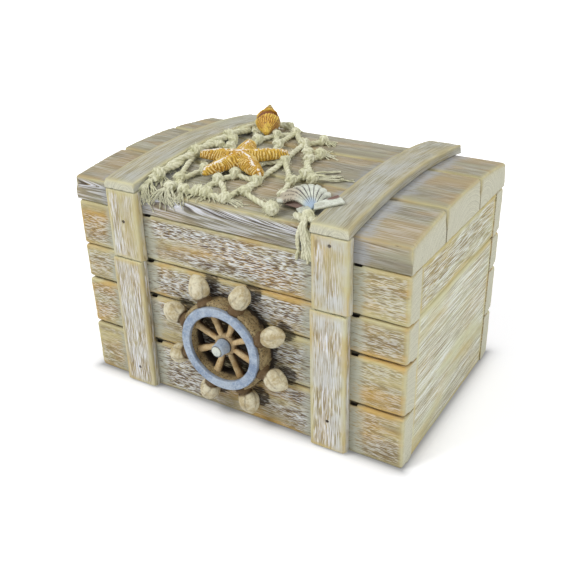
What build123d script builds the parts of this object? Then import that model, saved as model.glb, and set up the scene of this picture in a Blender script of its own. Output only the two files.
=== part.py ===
from build123d import *
from math import asin, cos, degrees, radians, sin, sqrt, tan
import os

# Treasure chest box of whitewashed slats with a hinged lid, a ship's wheel, netting and shells.
# Sizes are in millimetres. X runs along the front, Y to the back and Z up.
# The origin is the middle of the base's underside.

# Box
box_width = 200.0
box_depth = 128.0
base_height = 81.7
seam_gap = 0.3
lid_wall_height = 26.7
board_thick = 12.0
board_chamfer = 1.7
board_gap = 0.9
bottom_board_height = 30.6
middle_board_height = 28.6

# End panels, floor and the clearance they are fitted with
end_panel_thick = 10.0
end_recess = 0.4
end_chamfer = 1.0
floor_thick = 6.0
panel_fit = 0.15

# Arched top of three planks
plank_seat_gap = 0.3
plank_edge_height = 13.5
arch_rise = 5.0
plank_gap = 1.0
plank_round = 1.5
front_plank_depth = 39.5
middle_plank_depth = 46.0

# Straps
strap_width = 20.4
strap_thick = 5.0
strap_chamfer = 0.8
strap_fit = 0.15
strap_end_chamfer = 1.5
strap_foot_gap = 1.0
left_strap_gap = 12.2
right_strap_gap = 9.8
base_strap_shift = -1.0
strap_rear_overhang = 6.5

# Brads in the straps
brad_head_radius = 0.9
brad_head_thick = 0.6
brad_sink = 0.5
brad_shank_width = 0.9
brad_length = 13.0
brad_clearance = 0.05
left_base_brad_rise = 11.0
right_base_brad_rise = 17.8
left_lid_brad_rise = 22.0
right_lid_brad_rise = 35.0
brad_edge_inset = 12.0

# Butt hinges at the back
hinge_inset = 44.0
hinge_length = 24.0
leaf_height = 10.0
leaf_thick = 1.0
leaf_corner = 1.5
barrel_radius = 2.0
barrel_stand = 0.3
pin_radius = 0.9
pin_clearance = 0.05
pin_proud = 0.4
knuckle_gap = 0.3
knuckles = 3
screw_head_radius = 1.7
screw_head_depth = 0.8
screw_head_proud = 0.2
screw_shank_radius = 0.8
screw_length = 7.0
screw_clearance = 0.05
screw_pitch = 15.0
screw_height = 6.2

# Ship's wheel on the front
wheel_x = 0.0
wheel_rise = 6.65
wheel_turn_angle = 24.5
handle_count = 8
rim_inner_radius = 19.2
rim_width = 7.0
rim_thick = 10.5
rim_round = 2.6
rim_inner_chamfer = 0.8
face_ring_width = 5.3
face_ring_overhang = 0.4
face_ring_thick = 2.0
face_ring_chamfer = 0.7
spoke_back = 3.0
spoke_thick = 4.2
spoke_hub_width = 2.8
spoke_rim_width = 4.4
spoke_round = 0.9
spoke_fit = 0.1
hub_seat_radius = 6.2
hub_base_radius = 5.4
hub_nose_radius = 3.9
hub_length = 7.2
hub_chamfer = 0.6
button_radius = 3.1
button_proud = 0.6
button_sink = 0.6
handle_stand = 7.2
knob_length = 12.2
knob_radius = 5.9
neck_radius = 2.5
neck_length = 2.6
neck_fit = 0.1
socket_depth = 2.0

# Netting on the lid
net_lift = 0.3
net_cord = 2.4
net_thick = 2.2
net_seat_gap = 0.3
net_head_width = 6.4
net_knot_radius = 2.7
net_knot_sides = 6
net_edge_inset = 3.6

# Frayed tuft of netting over the lid's front edge
tassel_width = 7.0
tassel_thick = 3.4
tassel_length = 17.0
tassel_rise = 3.0
tassel_round = 1.2
tassel_gap = 0.3

# Starfish
star_left_of_knot = 8.0
star_before_knot = 5.8
star_arm = 26.0
star_width = 12.8
star_height = 6.0
star_waist_width = 10.4
star_waist_height = 5.6
star_tip_width = 5.0
star_tip_height = 2.8
star_back_reach = 0.5
star_middle_radius = 9.5
star_middle_height = 7.0

# Whelk shell
whelk_left_of_knot = 8.97
whelk_behind_knot = 5.22
whelk_length = 30.0
whelk_radius = 7.2
whelk_turn_angle = 118.0
whelk_tilt_angle = 24.0
whelk_sink = 0.4
mouth_width = 4.4
mouth_length = 11.0
mouth_depth = 2.6

# Scallop shell
scallop_right_of_knot = 23.5
scallop_before_knot = 11.0
scallop_turn_angle = 131.0
scallop_radius = 24.0
scallop_spread_angle = 84.0
scallop_rise = 6.4
scallop_ribs = 9
scallop_scoop = 0.9

# The scallop's two ears: a small one low on the net, and a long one that reaches over the strap
ear_width = 7.5
ear_depth = 5.5
ear_thick = 1.8
wing_width = 15.2
wing_depth = 8.0
wing_thick = 1.2
wing_strap_gap = 0.35

# One overrun serves every cut
cut_over = 1.0

# Shares chosen by hand
mid_share = 0.5
rim_round_share = 0.8
star_waist_share = 0.55
star_angles = (44.0, 113.0, 186.0, 253.0, 324.0)
whelk_profile_shares = (
    (0.00, 0.22), (0.12, 0.42), (0.28, 0.84), (0.40, 1.00), (0.50, 0.90),
    (0.52, 0.72), (0.63, 0.66), (0.66, 0.48), (0.77, 0.40), (0.80, 0.26),
    (0.90, 0.20), (0.92, 0.14), (1.00, 0.03),
)
whelk_pivot_share = 0.50
mouth_share = 0.28
scallop_side_drop_share = 0.7
scallop_groove_share = 0.14
scallop_dome_shares = ((0.06, 0.30), (0.40, 0.98), (0.72, 0.86), (1.10, 0.14))
ear_outline_shares = ((-0.10, 0.14), (0.00, 0.93), (0.90, 1.00), (1.00, 0.40))
wing_outline_shares = ((-0.12, 0.00), (-0.08, -1.00), (0.95, -0.88), (1.00, -0.07))
knob_shares = ((0.22, 0.77), (0.50, 1.00), (0.80, 0.80), (1.00, 0.00))

# Knots of the net: share of the lid's width from the left strap's edge to the right one,
# and share of the lid's depth from front to back
knot_shares = {
    "head_end": (0.030, 0.045), "head_front": (0.030, 0.095), "head_low": (0.030, 0.350),
    "head_high": (0.030, 0.600), "head_rear": (0.030, 0.860), "corner_left": (0.092, 0.945),
    "corner_right": (0.204, 0.945), "front_a": (0.146, 0.110), "front_b": (0.159, 0.034),
    "front_c": (0.240, 0.034), "front_d": (0.318, 0.048), "front_e": (0.371, 0.045),
    "front_f": (0.490, 0.034), "front_g": (0.765, 0.022), "low_a": (0.202, 0.224),
    "low_b": (0.342, 0.159), "low_c": (0.384, 0.234), "low_d": (0.533, 0.208),
    "low_e": (0.540, 0.108), "star_a": (0.255, 0.405), "star_b": (0.415, 0.385),
    "inner_a": (0.066, 0.478), "inner_b": (0.075, 0.578), "inner_c": (0.090, 0.760),
    "mid_a": (0.140, 0.488), "mid_b": (0.194, 0.643), "mid_c": (0.340, 0.624),
    "mid_d": (0.519, 0.437), "edge_a": (0.452, 0.694), "edge_b": (0.562, 0.574),
    "edge_c": (0.711, 0.342), "edge_d": (0.686, 0.260), "edge_e": (0.620, 0.497),
    "edge_f": (0.774, 0.305), "edge_g": (0.737, 0.136), "rear_a": (0.218, 0.760),
    "rear_b": (0.282, 0.856), "tail_a": (0.512, 0.789), "tail_b": (0.632, 0.584),
}
net_cords = (
    ("head_low", "front_a", "low_a", "star_a", "mid_b", "rear_a", "rear_b"),
    ("front_b", "front_a", "front_c", "front_d", "low_b", "low_c", "star_b", "mid_c", "rear_a"),
    ("front_d", "front_e", "front_f", "low_b"),
    ("front_f", "low_d", "mid_d", "edge_a", "rear_b", "corner_right"),
    ("low_c", "low_d", "low_e", "front_g"),
    ("mid_d", "edge_d", "edge_g"),
    ("edge_d", "edge_c", "edge_b", "edge_a", "tail_a"),
    ("edge_b", "edge_e", "edge_f"),
    ("edge_e", "tail_b"),
    ("star_b", "mid_d"),
    ("mid_c", "rear_b"),
    ("star_a", "mid_a", "inner_a"),
    ("inner_b", "mid_a", "star_a", "low_c"),
    ("inner_c", "mid_b"),
)
net_head_cord = (
    "head_end", "head_front", "head_low", "head_high", "head_rear", "corner_left", "corner_right",
)

# Places worked out from the sizes above
half_width = box_width / 2
half_depth = box_depth / 2
lid_bottom = base_height + seam_gap
lid_wall_top = lid_bottom + lid_wall_height
plank_bottom = lid_wall_top + plank_seat_gap
arch_radius = (half_depth ** 2 + arch_rise ** 2) / (2 * arch_rise)
arch_centre = plank_bottom + plank_edge_height + arch_rise - arch_radius
hinge_axis_y = half_depth + barrel_radius + barrel_stand
hinge_axis_z = base_height + seam_gap / 2
end_inner = half_width - end_recess - end_panel_thick
strap_front = half_depth + strap_thick
hinge_x = half_width - hinge_inset
wheel_height = base_height / 2 + wheel_rise
rim_outer_radius = rim_inner_radius + rim_width
face_ring_inner_radius = rim_inner_radius - face_ring_overhang
face_ring_outer_radius = face_ring_inner_radius + face_ring_width
knob_start = rim_outer_radius + neck_length
handle_reach = knob_start + knob_length
left_strap_edge = wheel_x - handle_reach - left_strap_gap
right_strap_edge = wheel_x + handle_reach + right_strap_gap
left_strap_x = left_strap_edge - strap_width / 2
right_strap_x = right_strap_edge + strap_width / 2


def arch_height(y, lift=0.0):
    """Height of the arched top at a depth, raised by lift."""
    return arch_centre + sqrt((arch_radius + lift) ** 2 - y ** 2)


def block(low, high):
    """A box between two corners."""
    size = [top - bottom for bottom, top in zip(low, high)]
    middle = [(top + bottom) / 2 for bottom, top in zip(low, high)]
    return Pos(*middle) * Box(*size)


def rod_y(x, z, radius, start, end):
    """A cylinder along Y between two depths."""
    return Pos(x, (start + end) / 2, z) * Rot(90, 0, 0) * Cylinder(radius, abs(end - start))


def rod_x(x, y, z, radius, length):
    """A cylinder along X about a middle point."""
    return Pos(x, y, z) * Rot(0, 90, 0) * Cylinder(radius, length)


def arch_slice(x0, x1, y0, y1, high, low=None):
    """A piece of the arched top between two depths; low is its underside's lift, or none where flat."""
    middle = (y0 + y1) / 2
    top = ThreePointArc([(y, arch_height(y, high)) for y in (y0, middle, y1)])
    if low is None:
        under = Line((y1, plank_bottom), (y0, plank_bottom))
    else:
        under = ThreePointArc([(y, arch_height(y, low)) for y in (y1, middle, y0)])
    sides = [Line(top @ 1, under @ 0), Line(under @ 1, top @ 0)]
    face = make_face([top, sides[0], under, sides[1]])
    return extrude(Plane.YZ.offset(x0) * face, amount=x1 - x0)


def wall_board(side, bottom, top):
    """A long board of the front (side -1) or the back (side 1), its outer edges eased."""
    outer = side * half_depth
    inner = side * (half_depth - board_thick)
    body = block((-half_width, min(outer, inner), bottom), (half_width, max(outer, inner), top))
    face = body.faces().sort_by(Axis.Y)[0 if side < 0 else -1]
    return chamfer(face.edges() + body.edges().filter_by(Axis.Y), board_chamfer)


def base_boards(side):
    """The three boards of one long wall of the base, from the floor up."""
    middle_bottom = bottom_board_height + board_gap
    top_bottom = middle_bottom + middle_board_height + board_gap
    return {
        "bottom": wall_board(side, 0, bottom_board_height),
        "middle": wall_board(side, middle_bottom, middle_bottom + middle_board_height),
        "top": wall_board(side, top_bottom, base_height),
    }


def end_panel(side, bottom, top):
    """An end panel set between the long walls, its outer top and bottom edges eased."""
    outer = side * (half_width - end_recess)
    inner = side * end_inner
    reach = half_depth - board_thick - panel_fit
    body = block((min(outer, inner), -reach, bottom), (max(outer, inner), reach, top))
    face = body.faces().sort_by(Axis.X)[0 if side < 0 else -1]
    return chamfer(face.edges().filter_by(Axis.Y), end_chamfer)


def floor_panel():
    """The floor, fitted inside the four walls and flush with their lower edges."""
    reach_x = end_inner - panel_fit
    reach_y = half_depth - board_thick - panel_fit
    return block((-reach_x, -reach_y, 0), (reach_x, reach_y, floor_thick))


def top_planks():
    """The three planks of the arched top, from front to back."""
    front_end = -half_depth + front_plank_depth
    middle_start = front_end + plank_gap
    middle_end = middle_start + middle_plank_depth
    spans = {
        "front": (-half_depth, front_end),
        "middle": (middle_start, middle_end),
        "rear": (middle_end + plank_gap, half_depth),
    }
    planks = {}
    for name, (start, end) in spans.items():
        body = arch_slice(-half_width, half_width, start, end, 0)
        planks[name] = fillet(body.faces().sort_by(Axis.Z)[-1].edges(), plank_round)
    return planks


def front_strap(x, bottom, top):
    """An upright strap piece on the front, its outer edges eased."""
    body = block((x - strap_width / 2, -strap_front, bottom), (x + strap_width / 2, -half_depth, top))
    return chamfer(body.faces().sort_by(Axis.Y)[0].edges(), strap_chamfer)


def top_strap(x):
    """A strap piece over the arched top, from the front strap's face to past the rear edge."""
    rear = half_depth + strap_rear_overhang
    left = x - strap_width / 2
    body = arch_slice(left, left + strap_width, -strap_front, rear, strap_thick + strap_fit, strap_fit)
    ends = body.faces().filter_by(Axis.Y)
    corners = [end.edges().sort_by(Axis.Z)[-1] for end in ends]
    body = chamfer(corners, strap_end_chamfer)
    arcs = body.edges().filter_by(GeomType.CIRCLE)
    arcs = arcs.filter_by(lambda edge: edge.length > half_depth)
    return chamfer(arcs.sort_by(Axis.Z)[-2:], strap_chamfer)


def brad(place, direction):
    """A headed cut brad sunk below the strap's face; direction points out of the wood."""
    head_face = -brad_sink
    head = Pos(0, 0, head_face - brad_head_thick / 2) * Cylinder(brad_head_radius, brad_head_thick)
    shank_top = head_face - brad_head_thick
    shank_length = brad_length - brad_head_thick
    shank = Box(brad_shank_width, brad_shank_width, shank_length)
    shank = Pos(0, 0, shank_top - shank_length / 2) * shank
    return Plane(origin=place, z_dir=direction) * (head + shank)


def brad_hole(place, direction):
    """The hole that a brad leaves: wide to the head's underside and narrow below it."""
    wide_depth = brad_sink + brad_head_thick + brad_clearance
    wide = Cylinder(brad_head_radius + brad_clearance, cut_over + wide_depth)
    wide = Pos(0, 0, (cut_over - wide_depth) / 2) * wide
    deep = brad_sink + brad_length + brad_clearance
    width = brad_shank_width + 2 * brad_clearance
    narrow = Pos(0, 0, -deep / 2) * Box(width, width, deep)
    return Plane(origin=place, z_dir=direction) * (wide + narrow)


def base_brad_places():
    """Places of the brads in the two base straps."""
    return [
        (left_strap_x + base_strap_shift, -strap_front, strap_foot_gap + left_base_brad_rise),
        (right_strap_x + base_strap_shift, -strap_front, strap_foot_gap + right_base_brad_rise),
    ]


def lid_brad_places():
    """Places and directions of the brads in the lid's straps."""
    places = [
        ((left_strap_x, -strap_front, lid_bottom + left_lid_brad_rise), (0, -1, 0)),
        ((right_strap_x, -strap_front, lid_bottom + right_lid_brad_rise), (0, -1, 0)),
    ]
    for x in (left_strap_x, right_strap_x):
        for y in (-half_depth + brad_edge_inset, half_depth - brad_edge_inset):
            places.append(((x, y, arch_height(y, strap_thick + strap_fit)), (0, 0, 1)))
    return places


def knuckle_spans():
    """Start and end of each knuckle along a hinge, from its middle."""
    length = (hinge_length - (knuckles - 1) * knuckle_gap) / knuckles
    starts = [-hinge_length / 2 + index * (length + knuckle_gap) for index in range(knuckles)]
    return [(start, start + length) for start in starts]


def screw_places(x, side):
    """Places of the screws in a hinge leaf; side is 1 on the lid and -1 on the base."""
    height = hinge_axis_z + side * screw_height
    return [(x + offset, height) for offset in (-screw_pitch / 2, screw_pitch / 2)]


def screw(x, z, extra=0.0):
    """A countersunk screw driven into the back, or its hole when extra is a clearance."""
    head_face = half_depth + leaf_thick + screw_head_proud
    head_base = head_face - screw_head_depth
    head = Cone(screw_shank_radius + extra, screw_head_radius + extra, screw_head_depth)
    head = Pos(x, (head_face + head_base) / 2, z) * Rot(-90, 0, 0) * head
    shank_end = head_face - screw_length - extra
    return head + rod_y(x, z, screw_shank_radius + extra, shank_end, head_base)


def hinge_leaf(x, side):
    """A leaf with its rolled knuckles: the outer ones on the base, the middle one on the lid."""
    near = hinge_axis_z + side * (barrel_radius + knuckle_gap)
    far = hinge_axis_z + side * leaf_height
    back = half_depth + leaf_thick
    left = x - hinge_length / 2
    plate = block((left, half_depth, min(near, far)), (left + hinge_length, back, max(near, far)))
    outer = plate.edges().filter_by(Axis.Y).sort_by(Axis.Z)
    plate = fillet(outer[-2:] if side > 0 else outer[:2], leaf_corner)
    own = [span for index, span in enumerate(knuckle_spans()) if (index % 2 == 1) == (side > 0)]
    for start, end in own:
        tab_far = near + side * knuckle_gap
        tab = block(
            (x + start, half_depth, min(hinge_axis_z, tab_far)),
            (x + end, back, max(hinge_axis_z, tab_far)),
        )
        barrel = rod_x(x + (start + end) / 2, hinge_axis_y, hinge_axis_z, barrel_radius, end - start)
        plate = plate + tab + barrel
    bore = rod_x(x, hinge_axis_y, hinge_axis_z, pin_radius + pin_clearance, hinge_length + cut_over)
    plate = plate - bore
    for place in screw_places(x, side):
        plate = plate - screw(*place, screw_clearance)
    return plate


def hinge_pin(x):
    """A plain pin through the knuckles, a little proud at both ends."""
    return rod_x(x, hinge_axis_y, hinge_axis_z, pin_radius, hinge_length + 2 * pin_proud)


def on_front(shape):
    """Set a piece made about Z onto the front boards at the wheel's middle."""
    return Pos(wheel_x, -half_depth, wheel_height) * Rot(90, 0, 0) * shape


def ring_profile(outer_radius, inner_radius, bottom, top):
    """The plain section of a ring about Z: radius along X and height along Y."""
    width = outer_radius - inner_radius
    return Pos(inner_radius + width / 2, (bottom + top) / 2) * Rectangle(width, top - bottom)


def handle_profile(neck_start):
    """Half the outline of a turned handle along X, from its neck to its tip."""
    points = [(knob_start + along * knob_length, across * knob_radius) for along, across in knob_shares]
    egg = Spline([(knob_start, neck_radius)] + points, tangents=[(1, 1), (0, -1)])
    outline = [
        Line((neck_start, 0), (neck_start, neck_radius)),
        Line((neck_start, neck_radius), (knob_start, neck_radius)),
        egg,
        Line(egg @ 1, (neck_start, 0)),
    ]
    return make_face(outline)


def wheel_handles():
    """The turned handles round the wheel, each neck seated in its socket."""
    seat = rim_outer_radius - socket_depth + neck_fit
    handle = Pos(0, 0, handle_stand) * revolve(handle_profile(seat), Axis.X)
    angles = [wheel_turn_angle + index * 360 / handle_count for index in range(handle_count)]
    return [on_front(Rot(0, 0, angle) * handle) for angle in angles]


def wheel_rim():
    """The wheel's rim, seated on the front boards, with a socket for each handle."""
    profile = ring_profile(rim_outer_radius, rim_inner_radius, 0, rim_thick)
    inner, outer = profile.vertices().sort_by(Axis.Y)[-2:].sort_by(Axis.X)
    profile = chamfer(inner, rim_inner_chamfer)
    outer = profile.vertices().sort_by(Axis.X)[-2:].sort_by(Axis.Y)[-1]
    profile = fillet(outer, min(rim_round, (rim_width - rim_inner_chamfer) * rim_round_share))
    body = revolve(Plane.XZ * profile, Axis.Z)
    start = rim_outer_radius - socket_depth
    length = socket_depth + cut_over
    for index in range(handle_count):
        socket = Rot(0, 90, 0) * Cylinder(neck_radius + neck_fit, length)
        socket = Pos(start + length / 2, 0, handle_stand) * socket
        body = body - Rot(0, 0, wheel_turn_angle + index * 360 / handle_count) * socket
    return on_front(body)


def wheel_face_ring():
    """The flat ring on the rim's front."""
    top = rim_thick + face_ring_thick
    profile = ring_profile(face_ring_outer_radius, face_ring_inner_radius, rim_thick, top)
    profile = chamfer(profile.vertices().sort_by(Axis.Y)[-2:], face_ring_chamfer)
    return on_front(revolve(Plane.XZ * profile, Axis.Z))


def wheel_spokes():
    """The spokes and the disc that the hub sits on, fitted inside the rim."""
    reach = rim_inner_radius + spoke_rim_width
    outline = Polygon(
        (0, -spoke_hub_width / 2),
        (reach, -spoke_rim_width / 2),
        (reach, spoke_rim_width / 2),
        (0, spoke_hub_width / 2),
        align=None,
    )
    spoke = extrude(outline, amount=spoke_thick)
    upper = spoke.faces().sort_by(Axis.Z)[-1].edges()
    spoke = fillet(upper.filter_by(lambda edge: edge.length > spoke_rim_width * 2), spoke_round)
    body = Pos(0, 0, spoke_thick / 2) * Cylinder(hub_seat_radius, spoke_thick)
    for index in range(handle_count):
        body = body + Rot(0, 0, wheel_turn_angle + index * 360 / handle_count) * spoke
    body = body & (Pos(0, 0, spoke_thick / 2) * Cylinder(rim_inner_radius - spoke_fit, spoke_thick))
    return on_front(Pos(0, 0, spoke_back) * body)


def wheel_hub():
    """The tapered hub on the spokes' disc, with its round button."""
    base = spoke_back + spoke_thick
    cone = Pos(0, 0, base + hub_length / 2) * Cone(hub_base_radius, hub_nose_radius, hub_length)
    cone = chamfer(cone.edges().sort_by(Axis.Z)[-1], hub_chamfer)
    seat = base + hub_length - button_sink
    depth = button_sink + cut_over
    cut = Pos(0, 0, seat + depth / 2) * Cylinder(button_radius + spoke_fit, depth)
    return on_front(cone - cut)


def wheel_button():
    """The pale disc let into the hub's nose."""
    top = spoke_back + spoke_thick + hub_length + button_proud
    bottom = top - button_proud - button_sink
    disc = Pos(0, 0, (top + bottom) / 2) * Cylinder(button_radius, top - bottom)
    return on_front(chamfer(disc.edges().sort_by(Axis.Z)[-1], button_proud * mid_share))


def knot_place(name):
    """A knot's place on the lid, from its shares."""
    across, along = knot_shares[name]
    x = left_strap_edge + across * (right_strap_edge - left_strap_edge)
    return x, -half_depth + along * box_depth


def cord_outline(first, second, width):
    """The outline of a stretch of net cord between two knots, seen from above."""
    start = Vector(*knot_place(first))
    end = Vector(*knot_place(second))
    run = end - start
    angle = Vector(1, 0).get_signed_angle(run, Vector(0, 0, 1))
    middle = (start + end) * mid_share
    return Pos(middle.X, middle.Y) * Rot(0, 0, angle) * Rectangle(run.length, width)


def net():
    """The netting as one holed face laid over the arched planks."""
    face = Sketch()
    for chain, width in [(chain, net_cord) for chain in net_cords] + [(net_head_cord, net_head_width)]:
        for first, second in zip(chain, chain[1:]):
            face = face + cord_outline(first, second, width)
    for name in knot_shares:
        radius = net_head_width / 2 if name in net_head_cord else net_knot_radius
        face = face + Pos(*knot_place(name)) * RegularPolygon(radius, net_knot_sides)
    left = left_strap_edge + net_lift
    right = right_strap_edge - net_lift
    field = Pos((left + right) / 2, 0) * Rectangle(right - left, box_depth - net_edge_inset)
    reach = plank_edge_height + arch_rise + strap_thick
    prism = extrude(Pos(0, 0, plank_bottom) * (face & field), amount=reach)
    top = net_lift + net_thick
    band = arch_slice(-half_width, half_width, -half_depth, half_depth, top, net_lift)
    return prism & band


def net_tassel():
    """The knotted end of netting that hangs over the lid's front edge beside the right strap."""
    x = right_strap_edge - tassel_gap - tassel_width / 2
    top = arch_height(half_depth) + tassel_rise
    back = -half_depth - tassel_gap
    low = (x - tassel_width / 2, back - tassel_thick, top - tassel_length)
    body = block(low, (x + tassel_width / 2, back, top))
    return fillet(body.faces().sort_by(Axis.Y)[0].edges(), tassel_round)


def across_x(at):
    """The plane across the X axis at a distance along it."""
    return Plane(origin=(at, 0, 0), x_dir=(0, 1, 0), z_dir=(1, 0, 0))


def segment_face(width, height):
    """A flat-bottomed arched section: a chord with an arc over it."""
    arc = ThreePointArc((-width / 2, 0), (0, height), (width / 2, 0))
    return make_face([arc, Line((width / 2, 0), (-width / 2, 0))])


def star_arm_solid():
    """One tapering arm of the starfish along X, flat below and arched above."""
    sections = (
        (-star_back_reach, star_width, star_height),
        (star_arm * star_waist_share, star_waist_width, star_waist_height),
        (star_arm, star_tip_width, star_tip_height),
    )
    faces = [across_x(at) * segment_face(width, height) for at, width, height in sections]
    return loft(faces, ruled=True)


def on_net(shape, x, y, turn):
    """Set a piece made on the plane Z = 0 onto the netting, leaning with the arch."""
    lean = degrees(asin(y / arch_radius))
    seat = arch_radius + net_lift + net_thick + net_seat_gap
    return Pos(x, 0, arch_centre) * Rot(-lean, 0, 0) * Pos(0, 0, seat) * Rot(0, 0, turn) * shape


def star_middle():
    """The raised middle of the starfish, a low cap about Z."""
    cap = segment_face(2 * star_middle_radius, star_middle_height)
    half = cap & (Pos(star_middle_radius, 0) * Rectangle(2 * star_middle_radius, 4 * star_middle_height))
    return revolve(Plane.XZ * half, Axis.Z)


def starfish():
    """The starfish, lying on the netting along the arch's slope."""
    body = star_middle()
    for angle in star_angles:
        body = body + Rot(0, 0, angle) * star_arm_solid()
    x, y = knot_place("star_b")
    return on_net(body, x - star_left_of_knot, y - star_before_knot, 0)


def whelk_shell():
    """A whelk: a stepped spire and a swollen last turn, with its mouth cut in one side."""
    points = [(along * whelk_length, out * whelk_radius) for along, out in whelk_profile_shares]
    outline = Polyline([(0, 0)] + points + [(whelk_length, 0), (0, 0)])
    body = revolve(make_face(outline), Axis.X)
    slot = extrude(SlotOverall(mouth_length, mouth_width), amount=mouth_depth + cut_over)
    mouth = Pos(whelk_length * mouth_share, 0, whelk_radius - mouth_depth) * slot
    body = Pos(-whelk_length * whelk_pivot_share, 0, 0) * (body - mouth)
    body = Pos(0, 0, whelk_radius - whelk_sink) * Rot(0, -whelk_tilt_angle, 0) * body
    x, y = knot_place("rear_a")
    return on_net(body, x - whelk_left_of_knot, y + whelk_behind_knot, whelk_turn_angle)


def scallop_outline():
    """The fan of a scallop along X from its hinge, with one scoop of its edge for each rib."""
    step = scallop_spread_angle / scallop_ribs
    start = -scallop_spread_angle / 2
    edges = []
    for index in range(scallop_ribs):
        angles = [radians(start + (index + share) * step) for share in (0, mid_share, 1)]
        radii = (scallop_radius, scallop_radius + scallop_scoop, scallop_radius)
        edges.append(ThreePointArc(*[(r * cos(a), r * sin(a)) for r, a in zip(radii, angles)]))
    edges.append(Line(edges[-1] @ 1, (0, 0)))
    edges.append(Line((0, 0), edges[0] @ 0))
    return make_face(edges)


def scallop_section(at, height):
    """The ribbed section across the fan, low at its sides, at a distance from the hinge."""
    points = []
    for index in range(2 * scallop_ribs + 1):
        share = index / scallop_ribs - 1
        across = at * tan(radians(share * scallop_spread_angle / 2))
        crest = height * (1 - scallop_side_drop_share * share ** 2)
        points.append((across, crest if index % 2 else crest * (1 - scallop_groove_share)))
    outline = Polyline(points + [(points[-1][0], 0), (points[0][0], 0), points[0]])
    return across_x(at) * make_face(outline)


def scallop_ear(shares, depth, width, bottom, thick):
    """A flat ear beside the hinge, from shares of its depth and width."""
    outline = Polygon(*[(along * depth, across * width) for along, across in shares], align=None)
    return Pos(0, 0, bottom) * extrude(outline, amount=thick)


def scallop_shell():
    """A scallop: a domed fan whose ribs spread from its hinge, with an ear on each side."""
    sections = []
    for along, up in scallop_dome_shares:
        sections.append(scallop_section(along * scallop_radius, up * scallop_rise))
    fan = loft(sections, ruled=True) & extrude(scallop_outline(), amount=scallop_rise + cut_over)
    ear = scallop_ear(ear_outline_shares, ear_depth, ear_width, 0, ear_thick)
    seat = net_lift + net_thick + net_seat_gap
    wing_bottom = strap_thick + strap_fit - seat + wing_strap_gap
    wing = scallop_ear(wing_outline_shares, wing_depth, wing_width, wing_bottom, wing_thick)
    body = fan + ear + wing
    x, y = knot_place("edge_g")
    return on_net(body, x + scallop_right_of_knot, y - scallop_before_knot, scallop_turn_angle)


def build_base():
    """Every node of the base, by name."""
    nodes = {}
    for wall, side in (("front", -1), ("back", 1)):
        for name, body in base_boards(side).items():
            nodes[f"base_{wall}_board_{name}"] = body
    for name, side in (("left", -1), ("right", 1)):
        nodes[f"base_end_panel_{name}"] = end_panel(side, 0, base_height)
    nodes["base_floor_panel"] = floor_panel()
    for name, x in (("left", left_strap_x), ("right", right_strap_x)):
        nodes[f"base_strap_{name}"] = front_strap(x + base_strap_shift, strap_foot_gap, base_height)
    nodes["base_strap_brads"] = [brad(place, (0, -1, 0)) for place in base_brad_places()]
    screws = []
    for name, x in (("left", -hinge_x), ("right", hinge_x)):
        nodes[f"hinge_{name}_base_leaf"] = hinge_leaf(x, -1)
        nodes[f"hinge_{name}_pin"] = hinge_pin(x)
        screws += [screw(*place) for place in screw_places(x, -1)]
    nodes["hinge_base_screws"] = screws
    nodes["wheel_rim"] = wheel_rim()
    nodes["wheel_face_ring"] = wheel_face_ring()
    nodes["wheel_spokes"] = wheel_spokes()
    nodes["wheel_hub"] = wheel_hub()
    nodes["wheel_button"] = wheel_button()
    nodes["wheel_handles"] = wheel_handles()
    return nodes


def build_lid():
    """Every node of the lid, by name."""
    nodes = {
        "lid_front_board": wall_board(-1, lid_bottom, lid_wall_top),
        "lid_back_board": wall_board(1, lid_bottom, lid_wall_top),
        "lid_end_board_left": end_panel(-1, lid_bottom, lid_wall_top),
        "lid_end_board_right": end_panel(1, lid_bottom, lid_wall_top),
    }
    for name, body in top_planks().items():
        nodes[f"lid_top_plank_{name}"] = body
    strap_top = arch_height(strap_front)
    for name, x in (("left", left_strap_x), ("right", right_strap_x)):
        nodes[f"lid_front_strap_{name}"] = front_strap(x, lid_bottom, strap_top)
        nodes[f"lid_top_strap_{name}"] = top_strap(x)
    nodes["lid_strap_brads"] = [brad(place, direction) for place, direction in lid_brad_places()]
    screws = []
    for name, x in (("left", -hinge_x), ("right", hinge_x)):
        nodes[f"hinge_{name}_lid_leaf"] = hinge_leaf(x, 1)
        screws += [screw(*place) for place in screw_places(x, 1)]
    nodes["hinge_lid_screws"] = screws
    nodes["net"] = net()
    nodes["net_tassel"] = net_tassel()
    nodes["starfish"] = starfish()
    nodes["whelk_shell"] = whelk_shell()
    nodes["scallop_shell"] = scallop_shell()
    return nodes


def drill(nodes, names, holes):
    """Cut holes in the named nodes."""
    for name in names:
        for hole in holes:
            nodes[name] = nodes[name] - hole


def drill_base(nodes):
    """Brad and screw holes in the base's wood."""
    for side, place in zip(("left", "right"), base_brad_places()):
        drill(nodes, [f"base_strap_{side}", "base_front_board_bottom"], [brad_hole(place, (0, -1, 0))])
    for x in (-hinge_x, hinge_x):
        holes = [screw(*place, screw_clearance) for place in screw_places(x, -1)]
        drill(nodes, ["base_back_board_top"], holes)


def drill_lid(nodes):
    """Brad and screw holes in the lid's wood."""
    for place, direction in lid_brad_places():
        side = "left" if place[0] < 0 else "right"
        if direction[1] < 0:
            names = [f"lid_front_strap_{side}", "lid_front_board", "lid_top_plank_front"]
        else:
            plank = "front" if place[1] < 0 else "rear"
            names = [f"lid_top_strap_{side}", f"lid_top_plank_{plank}"]
        drill(nodes, names, [brad_hole(place, direction)])
    for x in (-hinge_x, hinge_x):
        holes = [screw(*place, screw_clearance) for place in screw_places(x, 1)]
        drill(nodes, ["lid_back_board"], holes)


def write(nodes):
    """Write each node as one STEP file."""
    os.makedirs("parts", exist_ok=True)
    for name, body in nodes.items():
        shape = Compound(children=body) if isinstance(body, list) else body
        export_step(shape, f"parts/{name}.step")


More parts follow.
